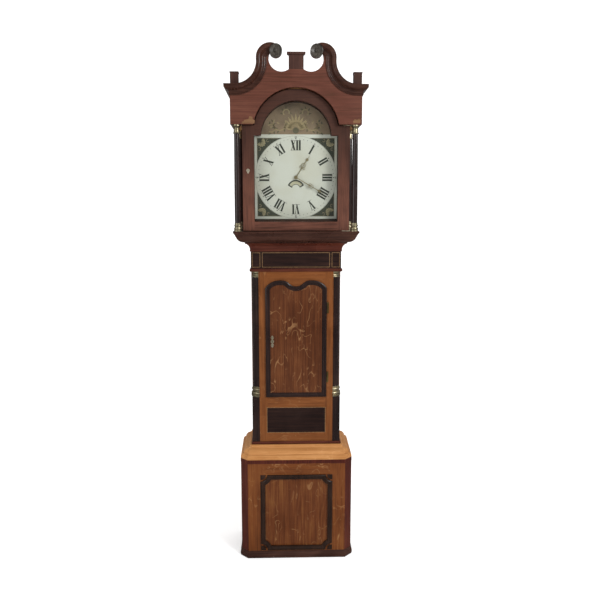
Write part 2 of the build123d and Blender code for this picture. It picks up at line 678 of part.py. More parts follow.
def trunk_door_board():
    """The door: a thick core that fills the opening, and a shaped face that laps the frame."""
    half = OPENING_HALF - DOOR_GAP
    core = slab(rectangle(-half, half, OPENING_BOTTOM + DOOR_GAP, OPENING_TOP - DOOR_GAP),
                DOOR_BACK, TRUNK_FRONT + 0.5)
    face = slab(door_outline(1.5), TRUNK_FRONT + 0.5, DOOR_FACE_FRONT)
    door = core + face
    for leaf in door_hinge_leaves():
        door = door - leaf
    lock = block((-half - 1, LOCK_RIGHT), (DOOR_BACK, LOCK_FRONT), (LOCK_HEIGHT - 24, LOCK_HEIGHT + 24))
    keyhole = rod(LOCK_KEY_X, LOCK_HEIGHT + 2, 2.2, DOOR_BACK - 1, DOOR_FACE_FRONT + 1)
    return [door - lock - keyhole]


# Each step of the moulding: where it starts and ends across the width, and its share of the thickness
DOOR_MOULDING_STEPS = [(0.0, 1.0, 0.4), (0.06, 0.8, 0.66), (0.14, 0.62, 0.85), (0.24, 0.46, 1.0)]


def trunk_door_moulding():
    """The applied moulding round the door's edge, highest near its outer edge."""
    rings = []
    for outer, inner, rise in DOOR_MOULDING_STEPS:
        ring = door_outline(outer * DOOR_MOULDING_WIDTH) - door_outline(inner * DOOR_MOULDING_WIDTH)
        rings.append(slab(ring, DOOR_FACE_FRONT, DOOR_FACE_FRONT + rise * DOOR_MOULDING_THICK))
    return [joined(rings)]


LOCK_RIGHT = -82.0
LOCK_FRONT = DOOR_BACK + 4.0
LOCK_KEY_X = -104.0
LOCK_CASE_BACK = DOOR_BACK - 8.0


def trunk_door_lock():
    """Lock case on the back of the door, and the pierced plate round the keyhole in front."""
    left = -(OPENING_HALF - DOOR_GAP)
    case = block((left, LOCK_RIGHT), (LOCK_CASE_BACK, LOCK_FRONT), (LOCK_HEIGHT - 24, LOCK_HEIGHT + 24))
    channel = block((left - 1, LOCK_RIGHT - 6), (LOCK_BOLT_FORWARD[0] - 0.3, LOCK_BOLT_FORWARD[1] + 0.3),
                    (LOCK_BOLT_UP[0] - 0.3, LOCK_BOLT_UP[1] + 0.3))
    key = rod(LOCK_KEY_X, LOCK_HEIGHT + 2, 2.2, LOCK_BOLT_FORWARD[1], LOCK_FRONT + 1)
    plate = disc(LOCK_KEY_X, LOCK_HEIGHT, 7.5) + disc(LOCK_KEY_X, LOCK_HEIGHT + 17, 6.5)
    plate = plate + disc(LOCK_KEY_X, LOCK_HEIGHT - 17, 6.5) + rectangle(LOCK_KEY_X - 3, LOCK_KEY_X + 3,
                                                                        LOCK_HEIGHT - 26, LOCK_HEIGHT + 26)
    plate = plate - disc(LOCK_KEY_X, LOCK_HEIGHT + 2, 2.2) - rectangle(LOCK_KEY_X - 1, LOCK_KEY_X + 1,
                                                                       LOCK_HEIGHT - 5, LOCK_HEIGHT + 2)
    for rise in (-17, 17):
        for side in (-3.8, 3.8):
            plate = plate - disc(LOCK_KEY_X + side, LOCK_HEIGHT + rise, 1.5)
    return [case - channel - key, slab(plate, DOOR_FACE_FRONT, DOOR_FACE_FRONT + LEAF_THICK)]


def trunk_lock_bolt():
    left = -(OPENING_HALF - DOOR_GAP)
    return [block((left, LOCK_RIGHT - 6 - LOCK_THROW - 8), LOCK_BOLT_FORWARD, LOCK_BOLT_UP)]


# Hood

FRIEZE_ARCH_CENTRE = HOOD_FRIEZE_BOTTOM - FRIEZE_ARCH_DROP
NECK_CENTRE_Z = CORNICE_TOP + NECK_CENTRE_RISE
EYE_Z = CORNICE_TOP + EYE_RISE
ROSETTE_Z = CORNICE_TOP + ROSETTE_RISE
CENTRE_BLOCK_HALF = CENTRE_BLOCK_WIDTH / 2
CENTRE_BLOCK_BOTTOM = EYE_Z - sqrt(EYE_RADIUS ** 2 - (EYE_CENTRE - CENTRE_BLOCK_HALF) ** 2)

# The sweep that lifts each neck off the cornice touches both the level cornice and the neck's round top.
NECK_RUN = NECK_START - NECK_CENTRE
NECK_SWEEP = (NECK_RUN ** 2 + NECK_CENTRE_RISE ** 2 - NECK_RADIUS ** 2) / (2 * (NECK_RADIUS + NECK_CENTRE_RISE))
NECK_TURN = degrees(atan2(NECK_CENTRE_RISE - NECK_SWEEP, NECK_RUN))


def neck_curve(top_end):
    """The left neck's upper edge after the level cornice: an arc up, then an arc over to a given angle."""
    rise = CenterArc((-NECK_START, CORNICE_TOP + NECK_SWEEP), NECK_SWEEP, -90, 90 + NECK_TURN)
    start = 180 + NECK_TURN
    over = CenterArc((-NECK_CENTRE, NECK_CENTRE_Z), NECK_RADIUS, start, top_end - start)
    return [rise, over]


def hood_front():
    """The arched front board, cut to the swan necks' outline, with a round behind each rosette."""
    curve = neck_curve(0)
    edges = [Line((0, HOOD_FRIEZE_BOTTOM), (-HOOD_HALF, HOOD_FRIEZE_BOTTOM)),
             Line((-HOOD_HALF, HOOD_FRIEZE_BOTTOM), (-HOOD_HALF, CORNICE_TOP)),
             Line((-HOOD_HALF, CORNICE_TOP), (-NECK_START, CORNICE_TOP))] + curve
    edges += [Line(curve[1] @ 1, (-CENTRE_BLOCK_HALF, CENTRE_BLOCK_BOTTOM)),
              Line((-CENTRE_BLOCK_HALF, CENTRE_BLOCK_BOTTOM), (0, CENTRE_BLOCK_BOTTOM)),
              Line((0, CENTRE_BLOCK_BOTTOM), (0, HOOD_FRIEZE_BOTTOM))]
    left = make_face(edges) - disc(-EYE_CENTRE, EYE_Z, EYE_RADIUS) + disc(-ROSETTE_CENTRE, ROSETTE_Z,
                                                                         ROSETTE_RADIUS - 1)
    face = left + mirror(left, about=Plane.YZ) - disc(0, FRIEZE_ARCH_CENTRE, FRIEZE_ARCH_RADIUS)
    board = slab(face, HOOD_BACK_OF_FRONT, HOOD_FRONT)
    socket = post(HOOD_PIVOT_X, HOOD_PIVOT_FORWARD, HOOD_PIVOT_RADIUS + RUNNING, HOOD_FRIEZE_BOTTOM - 1,
                  HOOD_FRIEZE_BOTTOM + 8.5)
    return [board - socket]


def cornice_section():
    """The cornice and neck moulding, drawn as projection and height above its lower edge."""
    out, high = CORNICE_PROJECTION, CORNICE_HEIGHT
    return outline((0, 0), (2, 0), (4.5, 2.5, 2, 5), (4, 9), (4.5, 17, out * 0.55, high * 0.5),
                   (out * 0.62, high * 0.52), (out - 3, high * 0.6, out - 0.5, high * 0.86),
                   (out, high * 0.86), (out, high), (0, high))


def hood_cornice():
    """A side length and a front length for each hand; the front length runs up the swan neck."""
    section = cornice_section()
    plan = three_sides(HOOD_HALF, HOOD_FRONT)
    side = moulding_lengths(section, plan, CORNICE_BOTTOM)[0]
    mitre = mitre_plane(plan[1], (0, 1), (1, 0))
    start = -HOOD_HALF - 2 * CORNICE_PROJECTION
    tip = degrees(atan2(ROSETTE_Z - NECK_CENTRE_Z + 20, NECK_CENTRE - ROSETTE_CENTRE + 5))
    path = Wire([front_plane(HOOD_FRONT) * edge
                 for edge in [Line((start, CORNICE_TOP), (-NECK_START, CORNICE_TOP))] + neck_curve(tip)])
    plane = Plane((start, y_at(HOOD_FRONT), CORNICE_TOP), x_dir=(0, -1, 0), z_dir=(-1, 0, 0))
    neck = sweep(plane * (Pos(0, -CORNICE_HEIGHT) * section), path=path)
    neck = split(neck, bisect_by=mitre, keep=Keep.TOP)
    reach = (HOOD_FRONT - 1, HOOD_FRONT + CORNICE_PROJECTION + 1)
    neck = neck - rod(-ROSETTE_CENTRE, ROSETTE_Z, ROSETTE_RADIUS, *reach)
    neck = neck - rod(-EYE_CENTRE, EYE_Z, EYE_RADIUS, *reach)
    return pair(side) + pair(largest(neck))


def largest(piece):
    return max(piece.solids(), key=lambda solid: solid.volume)


def rosettes():
    """Cast rosettes in the eyes of the swan necks: a dished disc with a raised centre."""
    radius = ROSETTE_RADIUS - 0.2
    section = outline((0, 0), (radius, 0), (radius, ROSETTE_THICK - 6), (radius - 3, ROSETTE_THICK - 3, radius - 6,
                      ROSETTE_THICK - 6), (8, ROSETTE_THICK - 9), (6, ROSETTE_THICK - 2, 3, ROSETTE_THICK),
                      (0, ROSETTE_THICK))
    plane = Plane((-ROSETTE_CENTRE, y_at(HOOD_FRONT), ROSETTE_Z), x_dir=(1, 0, 0), z_dir=(0, 0, -1))
    axis = Axis((-ROSETTE_CENTRE, y_at(HOOD_FRONT), ROSETTE_Z), (0, 1, 0))
    return pair(revolve(plane * section, axis))


def finial_blocks():
    """The centre block with its cap, and the two side blocks, each bored in the top for a finial's peg."""
    deep = (HOOD_BACK_OF_FRONT, HOOD_FRONT)
    top = CORNICE_TOP + CENTRE_BLOCK_TOP
    cap_half = CENTRE_CAP_WIDTH / 2
    centre = block((-CENTRE_BLOCK_HALF, CENTRE_BLOCK_HALF), deep, (CENTRE_BLOCK_BOTTOM, top))
    cap = outline((-CENTRE_BLOCK_HALF, top), (CENTRE_BLOCK_HALF, top), (cap_half - 3, top + 2, cap_half, top + 5),
                  (cap_half, top + CENTRE_CAP_HEIGHT), (-cap_half, top + CENTRE_CAP_HEIGHT), (-cap_half, top + 5),
                  (3 - cap_half, top + 2, -CENTRE_BLOCK_HALF, top))
    centre = centre + slab(cap, HOOD_BACK_OF_FRONT - 5, HOOD_FRONT + 5)
    forward = HOOD_FRONT - HOOD_BOARD / 2
    centre = centre - post(0, forward, PEG_RADIUS, top + CENTRE_CAP_HEIGHT - PEG_DEPTH, top + CENTRE_CAP_HEIGHT + 1)
    half = SIDE_BLOCK_WIDTH / 2
    body_top = CORNICE_TOP + SIDE_BLOCK_HEIGHT - SIDE_CAP_HEIGHT
    left = block((-SIDE_BLOCK_CENTRE - half, -SIDE_BLOCK_CENTRE + half), (HOOD_FRONT - SIDE_BLOCK_WIDTH, HOOD_FRONT),
                 (CORNICE_TOP, body_top))
    lip = SIDE_CAP_LIP
    left = left + block((-SIDE_BLOCK_CENTRE - half - lip, -SIDE_BLOCK_CENTRE + half + lip),
                        (HOOD_FRONT - SIDE_BLOCK_WIDTH - lip, HOOD_FRONT + lip),
                        (body_top, body_top + SIDE_CAP_HEIGHT))
    peg = post(-SIDE_BLOCK_CENTRE, HOOD_FRONT - half, PEG_RADIUS, body_top + SIDE_CAP_HEIGHT - PEG_DEPTH,
               body_top + SIDE_CAP_HEIGHT + 1)
    return [centre] + pair(left - hood_front()[0] - peg)


def hood_sides():
    return pair(block((HOOD_SIDE_INNER, HOOD_SIDE_OUTER), (0, HOOD_DOOR_BACK - DOOR_GAP),
                      (HOOD_FLOOR, CORNICE_TOP - HOOD_ROOF)))


def hood_side_friezes():
    return pair(block((HOOD_HALF - RAIL_THICK, HOOD_HALF), (0, HOOD_BACK_OF_FRONT),
                      (HOOD_FRIEZE_BOTTOM, CORNICE_TOP)))


def hood_top_boards():
    """The roof board, and a narrow soffit over each side."""
    roof = block((RAIL_THICK - HOOD_HALF, HOOD_HALF - RAIL_THICK), (0, HOOD_BACK_OF_FRONT),
                 (CORNICE_TOP - HOOD_ROOF, CORNICE_TOP))
    soffit = block((HOOD_SIDE_OUTER, HOOD_HALF - RAIL_THICK), (0, HOOD_BACK_OF_FRONT),
                   (HOOD_FRIEZE_BOTTOM, HOOD_FRIEZE_BOTTOM + HOOD_SOFFIT))
    return [roof] + pair(soffit)


def hood_base_moulding():
    """The moulded frame that the hood stands on, open at the back."""
    out, high = HOOD_BASE_PROJECTION, HOOD_BASE_HEIGHT
    foot = THROAT_PROJECTION - 1
    section = outline((SLIDE_GAP, 0), (foot, 0), (foot + 1, 3), (foot + 20, 8, foot + 34, 24),
                      (foot + 38, 32, out - 3, high - 9), (out, high - 8), (out, high), (SLIDE_GAP, high))
    lengths = moulding_lengths(section, three_sides(TRUNK_HALF, TRUNK_FRONT), THROAT_TOP)
    socket = post(HOOD_PIVOT_X, HOOD_PIVOT_FORWARD, HOOD_PIVOT_RADIUS + RUNNING, HOOD_FLOOR - 8.5, HOOD_FLOOR + 1)
    return [lengths[0], lengths[1] - socket, lengths[2]]


def column_places():
    return [(HOOD_COLUMN_CENTRE, FRONT_COLUMN_FORWARD), (HOOD_COLUMN_CENTRE, REAR_COLUMN_FORWARD)]


def hood_columns():
    bottom, top = HOOD_FLOOR + BRASS_BASE_HEIGHT, HOOD_FRIEZE_BOTTOM - BRASS_CAP_HEIGHT
    slim, full = HOOD_COLUMN_RADIUS * 0.86, HOOD_COLUMN_RADIUS
    middle = (top - bottom) * 0.45
    shaft = outline((0, 0), (full, 0), ((full + slim) / 2 + 0.6, middle, slim, top - bottom), (0, top - bottom))
    return [half for x, forward in column_places() for half in pair(turned(shaft, x, forward, bottom))]


def hood_column_brasses():
    reach, neck = BRASS_RADIUS, HOOD_COLUMN_RADIUS
    base = outline((0, 0), (reach, 0), (reach, 5), (reach - 1, 6), (reach + 0.4, 10, reach - 1, 14),
                   (neck + 1, 17, neck + 1, 20), (neck + 3.4, 23.5, neck + 1, 27), (neck + 1, BRASS_BASE_HEIGHT),
                   (0, BRASS_BASE_HEIGHT))
    high = BRASS_CAP_HEIGHT
    cap = outline((0, 0), (neck, 0), (neck + 2.2, 2.5, neck, 5), (neck - 0.5, 6), (neck - 0.5, 16),
                  (neck, high * 0.7, reach - 1, high - 7), (reach, high - 6), (reach, high), (0, high))
    pieces = []
    for x, forward in column_places():
        pieces += pair(turned(base, x, forward, HOOD_FLOOR))
        pieces += pair(turned(cap, x, forward, HOOD_FRIEZE_BOTTOM - high))
    return pieces


def arched(half, bottom, shoulder, radius, centre):
    """A window shape: square below a shoulder, a smaller round arch above it."""
    above = disc(0, centre, radius) & rectangle(-radius, radius, shoulder, centre + radius)
    return rectangle(-half, half, bottom, shoulder) + above


def dial_mask():
    """The wooden surround fixed inside the hood, which hides the edge of the dial."""
    half = DIAL_SIZE / 2 - MASK_LAP
    window = arched(half, HANDS_HEIGHT - half, HANDS_HEIGHT + half - 3, DIAL_ARCH_RADIUS - MASK_LAP, DIAL_ARCH_CENTRE)
    board = rectangle(-HOOD_SIDE_INNER, HOOD_SIDE_INNER, HOOD_FLOOR, MASK_TOP)
    return [slab(board - window, MASK_BACK, MASK_BACK + MASK_THICK)]


# Hood door

GLASS_SHOULDER = HOOD_FRIEZE_BOTTOM - GLASS_SHOULDER_DROP
GLASS_ARCH_CENTRE = FRIEZE_ARCH_CENTRE - GLASS_ARCH_DROP
DOOR_SILL = HOOD_FLOOR + HOOD_DOOR_LIFT
DOOR_SQUARE_TOP = HOOD_FRIEZE_BOTTOM - HOOD_DOOR_TOP_GAP
DOOR_ARCH_RADIUS = FRIEZE_ARCH_RADIUS - HOOD_ARCH_GAP
GLASS_BOTTOM = DOOR_SILL + HOOD_BOTTOM_RAIL
GLASS_BACK = HOOD_DOOR_BACK + 4.0


def glass_outline(margin):
    return arched(GLASS_HALF + margin, GLASS_BOTTOM - margin, GLASS_SHOULDER + margin,
                  GLASS_ARCH_RADIUS + margin, GLASS_ARCH_CENTRE)


def hood_door_frame():
    """Two stiles, a bottom rail and an arched head, rebated behind for the glass."""
    stile = rectangle(GLASS_HALF, HOOD_DOOR_HALF, DOOR_SILL, DOOR_SQUARE_TOP)
    rail = rectangle(-GLASS_HALF, GLASS_HALF, DOOR_SILL, GLASS_BOTTOM)
    square = rectangle(-GLASS_HALF, GLASS_HALF, GLASS_SHOULDER, DOOR_SQUARE_TOP)
    arch = disc(0, FRIEZE_ARCH_CENTRE, DOOR_ARCH_RADIUS) & rectangle(
        -DOOR_ARCH_RADIUS, DOOR_ARCH_RADIUS, DOOR_SQUARE_TOP, FRIEZE_ARCH_CENTRE + DOOR_ARCH_RADIUS)
    head = square + arch - disc(0, GLASS_ARCH_CENTRE, GLASS_ARCH_RADIUS)
    rebate = slab(glass_outline(GLASS_REBATE), HOOD_DOOR_BACK - 1, GLASS_BACK + GLASS_THICK)
    hinges = joined(hood_hinge_plates())
    parts = []
    for face in (stile, mirror(stile, about=Plane.YZ), rail, head):
        parts.append(slab(face, HOOD_DOOR_BACK, HOOD_DOOR_FRONT) - rebate - hinges)
    keyhole = rod(-HOOD_KEY_X, HOOD_KEY_HEIGHT, 1.6, HOOD_DOOR_FRONT - 10, HOOD_DOOR_FRONT + 1)
    parts[1] = parts[1] - keyhole
    return parts


def hood_door_glass():
    return [slab(glass_outline(GLASS_REBATE - 0.4), GLASS_BACK, GLASS_BACK + GLASS_THICK)]


HOOD_PLATE = 1.6
HOOD_KEY_X = 199.0
HOOD_KEY_HEIGHT = HOOD_FLOOR + 250.0


def hood_hinge_plates():
    """Flat brass plates let into the door's bottom and top edges, each with its pivot."""
    plan = outline((HOOD_DOOR_HALF - 30, HOOD_DOOR_BACK + 6), (HOOD_DOOR_HALF, HOOD_DOOR_BACK + 6),
                   (HOOD_PIVOT_X + 2, HOOD_PIVOT_FORWARD - 4), (HOOD_PIVOT_X + 2, HOOD_PIVOT_FORWARD + 2),
                   (HOOD_PIVOT_X - 6, HOOD_PIVOT_FORWARD + 2), (HOOD_DOOR_HALF - 30, HOOD_DOOR_FRONT - 4))
    low = HOOD_FLOOR + 0.6
    high = HOOD_FRIEZE_BOTTOM - 0.6
    bottom = plan_slab(plan, low, low + HOOD_PLATE)
    bottom = bottom + post(HOOD_PIVOT_X, HOOD_PIVOT_FORWARD, HOOD_PIVOT_RADIUS, HOOD_FLOOR - 7.5, low + HOOD_PLATE)
    strap = block((HOOD_DOOR_HALF - 30, HOOD_DOOR_HALF - 2), (HOOD_DOOR_BACK + 6, HOOD_DOOR_FRONT - 6),
                  (low, DOOR_SILL + 1.5))
    top = plan_slab(plan, high - HOOD_PLATE, high)
    top = top + post(HOOD_PIVOT_X, HOOD_PIVOT_FORWARD, HOOD_PIVOT_RADIUS, high - HOOD_PLATE,
                     HOOD_FRIEZE_BOTTOM + 7.5)
    tab = block((HOOD_DOOR_HALF - 30, HOOD_DOOR_HALF - 2), (HOOD_DOOR_BACK + 6, HOOD_DOOR_FRONT - 6),
                (DOOR_SQUARE_TOP - 1.5, high))
    return [bottom + strap, top + tab]


def hood_door_brasses():
    """The pivoted hinge plates and the small round keyhole plate."""
    plate = disc(-HOOD_KEY_X, HOOD_KEY_HEIGHT, 7) + disc(-HOOD_KEY_X, HOOD_KEY_HEIGHT - 8, 4)
    plate = plate - disc(-HOOD_KEY_X, HOOD_KEY_HEIGHT, 1.6)
    return hood_hinge_plates() + [slab(plate, HOOD_DOOR_FRONT, HOOD_DOOR_FRONT + 1)]


# Wheelwork

WHEEL_TIP, WHEEL_ROOT, WHEEL_ADDENDUM = 0.14, 0.38, 0.8
LEAF_TIP, LEAF_ROOT, LEAF_ADDENDUM = 0.22, 0.32, 0.45
TOOTH_ROOM = 0.35


def toothed(x, z, teeth, module, phase, tip, root, addendum, dedendum):
    """A toothed disc with straight-flanked teeth; the phase is the angle of one tooth's middle."""
    pitch, radius = 2 * pi / teeth, teeth * module / 2
    points = []
    for i in range(teeth):
        middle = radians(phase) + i * pitch
        for reach, share in ((radius - dedendum, -root), (radius + addendum, -tip),
                             (radius + addendum, tip), (radius - dedendum, root)):
            angle = middle + share / 2 * pitch
            points.append((x + reach * cos(angle), z + reach * sin(angle)))
    return make_face(Polyline(points, close=True))


def wheel_face(place, teeth, module, phase, hub, spokes=4):
    """A crossed-out brass wheel."""
    x, z = place
    face = toothed(x, z, teeth, module, phase, WHEEL_TIP, WHEEL_ROOT, WHEEL_ADDENDUM * module,
                   (LEAF_ADDENDUM + TOOTH_ROOM) * module)
    rim = teeth * module / 2 * 0.86
    if rim > hub + 8:
        window = disc(x, z, rim) - disc(x, z, hub)
        for i in range(spokes):
            window = window - Pos(x, z) * Rot(0, 0, 180 * i / spokes * 2) * rectangle(0, rim + 1, -2, 2)
        face = face - window
    return face


def pinion_face(place, leaves, module, phase):
    x, z = place
    return toothed(x, z, leaves, module, phase, LEAF_TIP, LEAF_ROOT, LEAF_ADDENDUM * module,
                   (WHEEL_ADDENDUM + TOOTH_ROOM) * module)


def mesh_phase(place, mate, phase, teeth, mate_teeth):
    """The phase that puts a gap of the mate where a tooth of the first wheel stands."""
    towards = degrees(atan2(mate[1] - place[1], mate[0] - place[0]))
    return towards + 180 + 180 / mate_teeth - (phase - towards) * teeth / mate_teeth


def away(place, distance, angle):
    return place[0] + distance * cos(radians(angle)), place[1] + distance * sin(radians(angle))


def centres(teeth, mate_teeth, module):
    return (teeth + mate_teeth) * module / 2


def arbor(place, radius=ARBOR_RADIUS):
    """A steel arbor between the plates, with a pivot at each end."""
    body = rod(*place, radius, BACK_PLATE_FRONT + 1, FRONT_PLATE_BACK - 1)
    return body + rod(*place, PIVOT_RADIUS, BACK_PLATE_BACK, FRONT_PLATE_FRONT)


# Places of the arbors
HANDS = (0.0, HANDS_HEIGHT)
DRIVE_DISTANCE = centres(DRIVE_TEETH, CANNON_TEETH, MOTION_MODULE)
GREAT = (GREAT_OFFSET, HANDS_HEIGHT - sqrt(DRIVE_DISTANCE ** 2 - GREAT_OFFSET ** 2))
SECOND = away(GREAT, centres(GREAT_TEETH, PINION_LEAVES, GREAT_MODULE), 97.0)
ESCAPE_DISTANCE = centres(SECOND_TEETH, PINION_LEAVES, SECOND_MODULE)
ESCAPE = (0.0, SECOND[1] + sqrt(ESCAPE_DISTANCE ** 2 - SECOND[0] ** 2))
ANCHOR = (0.0, ESCAPE[1] + ANCHOR_RISE)
STRIKE_GREAT = (-GREAT[0], GREAT[1])
STRIKE_SECOND = (-SECOND[0], SECOND[1])
FLY = away(STRIKE_SECOND, centres(STRIKE_SECOND_TEETH, PINION_LEAVES, SECOND_MODULE), 128.0)
HAMMER = (-62.0, GREAT[1] + 55.0)
MINUTE_WHEEL = away(HANDS, centres(CANNON_TEETH, MINUTE_WHEEL_TEETH, MOTION_MODULE), 160.0)
HOUR_MODULE = (2 * centres(CANNON_TEETH, MINUTE_WHEEL_TEETH, MOTION_MODULE)
               / (MINUTE_PINION_LEAVES + HOUR_WHEEL_TEETH))
DATE = (0.0, HANDS_HEIGHT - DATE_CENTRE_DROP)

# Places along the arbors, forward of the wall
GREAT_FORWARD = (132.0, 135.5)
STRIKE_GREAT_FORWARD = (93.0, 96.5)
SECOND_FORWARD = (124.0, 127.0)
STRIKE_SECOND_FORWARD = (100.0, 103.0)
ESCAPE_FORWARD = (115.0, 117.5)
FIRST_MOTION = (154.0, 157.0)
SECOND_MOTION = (160.0, 163.0)


def widened(span, by):
    return span[0] - by, span[1] + by


def rope_pulley(place, forward):
    """A grooved pulley whose groove lets the rope run on its own radius."""
    grip = PULLEY_ROPE_RADIUS - ROPE_RADIUS - 0.3
    half = PULLEY_THICK / 2
    section = outline((0, -half), (PULLEY_RIM_RADIUS, -half), (PULLEY_RIM_RADIUS, -half + 2.5), (grip, -ROPE_RADIUS - 0.5),
                      (grip, ROPE_RADIUS + 0.5), (PULLEY_RIM_RADIUS, half - 2.5), (PULLEY_RIM_RADIUS, half), (0, half))
    plane = Plane((place[0], y_at(forward), place[1]), x_dir=(1, 0, 0), z_dir=(0, 0, -1))
    return revolve(plane * section, Axis((place[0], y_at(forward), place[1]), (0, 1, 0)))


def great_wheel(place, forward, phase=0.0):
    wheel = slab(wheel_face(place, GREAT_TEETH, GREAT_MODULE, phase, 12), *forward)
    return wheel + rope_pulley(place, ROPE_PLANE) + arbor(place, 3.0)


GREAT_PHASE = 90.0
SECOND_PHASE = mesh_phase(GREAT, SECOND, GREAT_PHASE, GREAT_TEETH, PINION_LEAVES)
ESCAPE_PHASE = mesh_phase(SECOND, ESCAPE, SECOND_PHASE, SECOND_TEETH, PINION_LEAVES)
CANNON_PHASE = mesh_phase(GREAT, HANDS, GREAT_PHASE, DRIVE_TEETH, CANNON_TEETH)
MINUTE_WHEEL_PHASE = mesh_phase(HANDS, MINUTE_WHEEL, CANNON_PHASE, CANNON_TEETH, MINUTE_WHEEL_TEETH)
HOUR_PHASE = mesh_phase(MINUTE_WHEEL, HANDS, MINUTE_WHEEL_PHASE, MINUTE_PINION_LEAVES, HOUR_WHEEL_TEETH)
STRIKE_PHASE = mesh_phase(STRIKE_GREAT, STRIKE_SECOND, GREAT_PHASE, GREAT_TEETH, PINION_LEAVES)
FLY_PHASE = mesh_phase(STRIKE_SECOND, FLY, STRIKE_PHASE, STRIKE_SECOND_TEETH, PINION_LEAVES)


def going_great_wheel():
    """The great wheel, its rope pulley, and in front of the plate the wheel that drives the hands."""
    drive = slab(wheel_face(GREAT, DRIVE_TEETH, MOTION_MODULE, GREAT_PHASE, 8), *FIRST_MOTION)
    nose = rod(*GREAT, ARBOR_RADIUS, FRONT_PLATE_BACK, FIRST_MOTION[1] + 1)
    return [great_wheel(GREAT, GREAT_FORWARD, GREAT_PHASE) + nose + drive]


def going_second_wheel():
    wheel = slab(wheel_face(SECOND, SECOND_TEETH, SECOND_MODULE, SECOND_PHASE, 7), *SECOND_FORWARD)
    pinion = slab(pinion_face(SECOND, PINION_LEAVES, GREAT_MODULE, SECOND_PHASE), *widened(GREAT_FORWARD, 2))
    return [wheel + pinion + arbor(SECOND)]


def escape_wheel():
    """Thirty pointed teeth, and the pinion that the second wheel turns."""
    points = []
    for i in range(ESCAPE_TEETH):
        for reach, share in ((0.8, 0.0), (1.0, 0.42), (1.0, 0.5), (0.8, 0.62)):
            angle = 2 * pi * (i + share) / ESCAPE_TEETH
            points.append((ESCAPE[0] + ESCAPE_RADIUS * reach * cos(angle),
                           ESCAPE[1] + ESCAPE_RADIUS * reach * sin(angle)))
    face = make_face(Polyline(points, close=True))
    window = disc(*ESCAPE, ESCAPE_RADIUS * 0.68) - disc(*ESCAPE, 5)
    for i in range(4):
        window = window - Pos(*ESCAPE) * Rot(0, 0, 90 * i) * rectangle(0, ESCAPE_RADIUS, -1.2, 1.2)
    wheel = slab(face - window, *ESCAPE_FORWARD)
    pinion = slab(pinion_face(ESCAPE, PINION_LEAVES, SECOND_MODULE, ESCAPE_PHASE), *widened(SECOND_FORWARD, 2))
    return [wheel + pinion + arbor(ESCAPE, 1.5)]


PALLET_CLEAR = 1.9
CRUTCH_LENGTH = 112.0
CRUTCH_FORWARD = (81.0, 83.0)


def anchor():
    """The anchor with its two pallets, its arbor, and the crutch that reaches down to the pendulum rod."""
    rim = ESCAPE_RADIUS + PALLET_CLEAR
    arms = disc(*ANCHOR, 5) + (Pos(*ANCHOR) * (disc(0, -2, 24) & rectangle(-24, 24, -14, 3)))
    arms = arms - disc(ESCAPE[0], ESCAPE[1], rim)
    nibs = Pos(*ANCHOR) * (rectangle(-21, -16, -20, -8) + rectangle(16, 21, -20, -8))
    body = slab(arms + (nibs - disc(ESCAPE[0], ESCAPE[1], rim)), *ESCAPE_FORWARD)
    spindle = rod(*ANCHOR, 1.5, CRUTCH_FORWARD[0], FRONT_PLATE_BACK - 1)
    spindle = spindle + rod(*ANCHOR, PIVOT_RADIUS, COCK_BACK, FRONT_PLATE_FRONT)
    low = ANCHOR[1] - CRUTCH_LENGTH
    crutch = slab(rectangle(-2, 2, low, ANCHOR[1]), *CRUTCH_FORWARD)
    fork = block((-7, 7), CRUTCH_FORWARD, (low - 4, low + 2))
    for x in ((-7, -3.2), (3.2, 7)):
        fork = fork + block(x, (PENDULUM_PLANE - 5, CRUTCH_FORWARD[1]), (low - 4, low + 2))
    return [body + spindle + crutch + fork]


COCK_BACK = 76.0
SPRING_LENGTH = 24.0


def pendulum_rod():
    """Suspension spring, rod, and the rating nut below the bob. The spring bends at the cock."""
    top = ANCHOR[1]
    centre = top - PENDULUM_LENGTH
    spring = block((-4, 4), (PENDULUM_PLANE - 0.2, PENDULUM_PLANE + 0.2), (top - SPRING_LENGTH, top))
    clamp = block((-6, 6), (PENDULUM_PLANE - 2.5, PENDULUM_PLANE + 2.5),
                  (top - SPRING_LENGTH - 12, top - SPRING_LENGTH + 2))
    shaft = post(0, PENDULUM_PLANE, ROD_RADIUS, centre - BOB_RADIUS - 26, top - SPRING_LENGTH - 10)
    nut = post(0, PENDULUM_PLANE, 9, centre - BOB_RADIUS - 10, centre - BOB_RADIUS - 4)
    return [spring + clamp + shaft + nut]


def pendulum_bob():
    """A lens-shaped bob, bored for the rod."""
    half, radius = BOB_THICK / 2, BOB_RADIUS
    lens = outline((0, -half), (radius * 0.62, -half * 0.72, radius, -1.2), (radius, 1.2),
                   (radius * 0.62, half * 0.72, 0, half))
    centre = ANCHOR[1] - PENDULUM_LENGTH
    plane = Plane((0, y_at(PENDULUM_PLANE), centre), x_dir=(1, 0, 0), z_dir=(0, 0, -1))
    bob = revolve(plane * lens, Axis((0, y_at(PENDULUM_PLANE), centre), (0, 1, 0)))
    return [bob - post(0, PENDULUM_PLANE, ROD_RADIUS, centre - radius - 1, centre + radius + 1)]


def hand_shape(length, ring):
    """A pierced hand drawn pointing up from its centre: boss, slim shaft, pierced leaf and spade tip."""
    face = disc(0, 0, 8) + rectangle(-1.6, 1.6, 0, length * 0.9)
    at = length * 0.56
    face = face + disc(0, at, ring) - disc(0, at, ring - 2) + rectangle(-1.2, 1.2, at - ring, at + ring)
    for side in (-1, 1):
        low = Pos(side * (ring - 2.5), at - ring * 1.15) * (Circle(ring * 0.55) - Circle(ring * 0.55 - 1.6))
        face = face + low
    tip = outline((0, length * 0.74), (ring * 0.75, length * 0.83), (1.0, length * 0.9), (0.4, length), (-0.4, length),
                  (-1.0, length * 0.9), (-ring * 0.75, length * 0.83))
    return face + tip


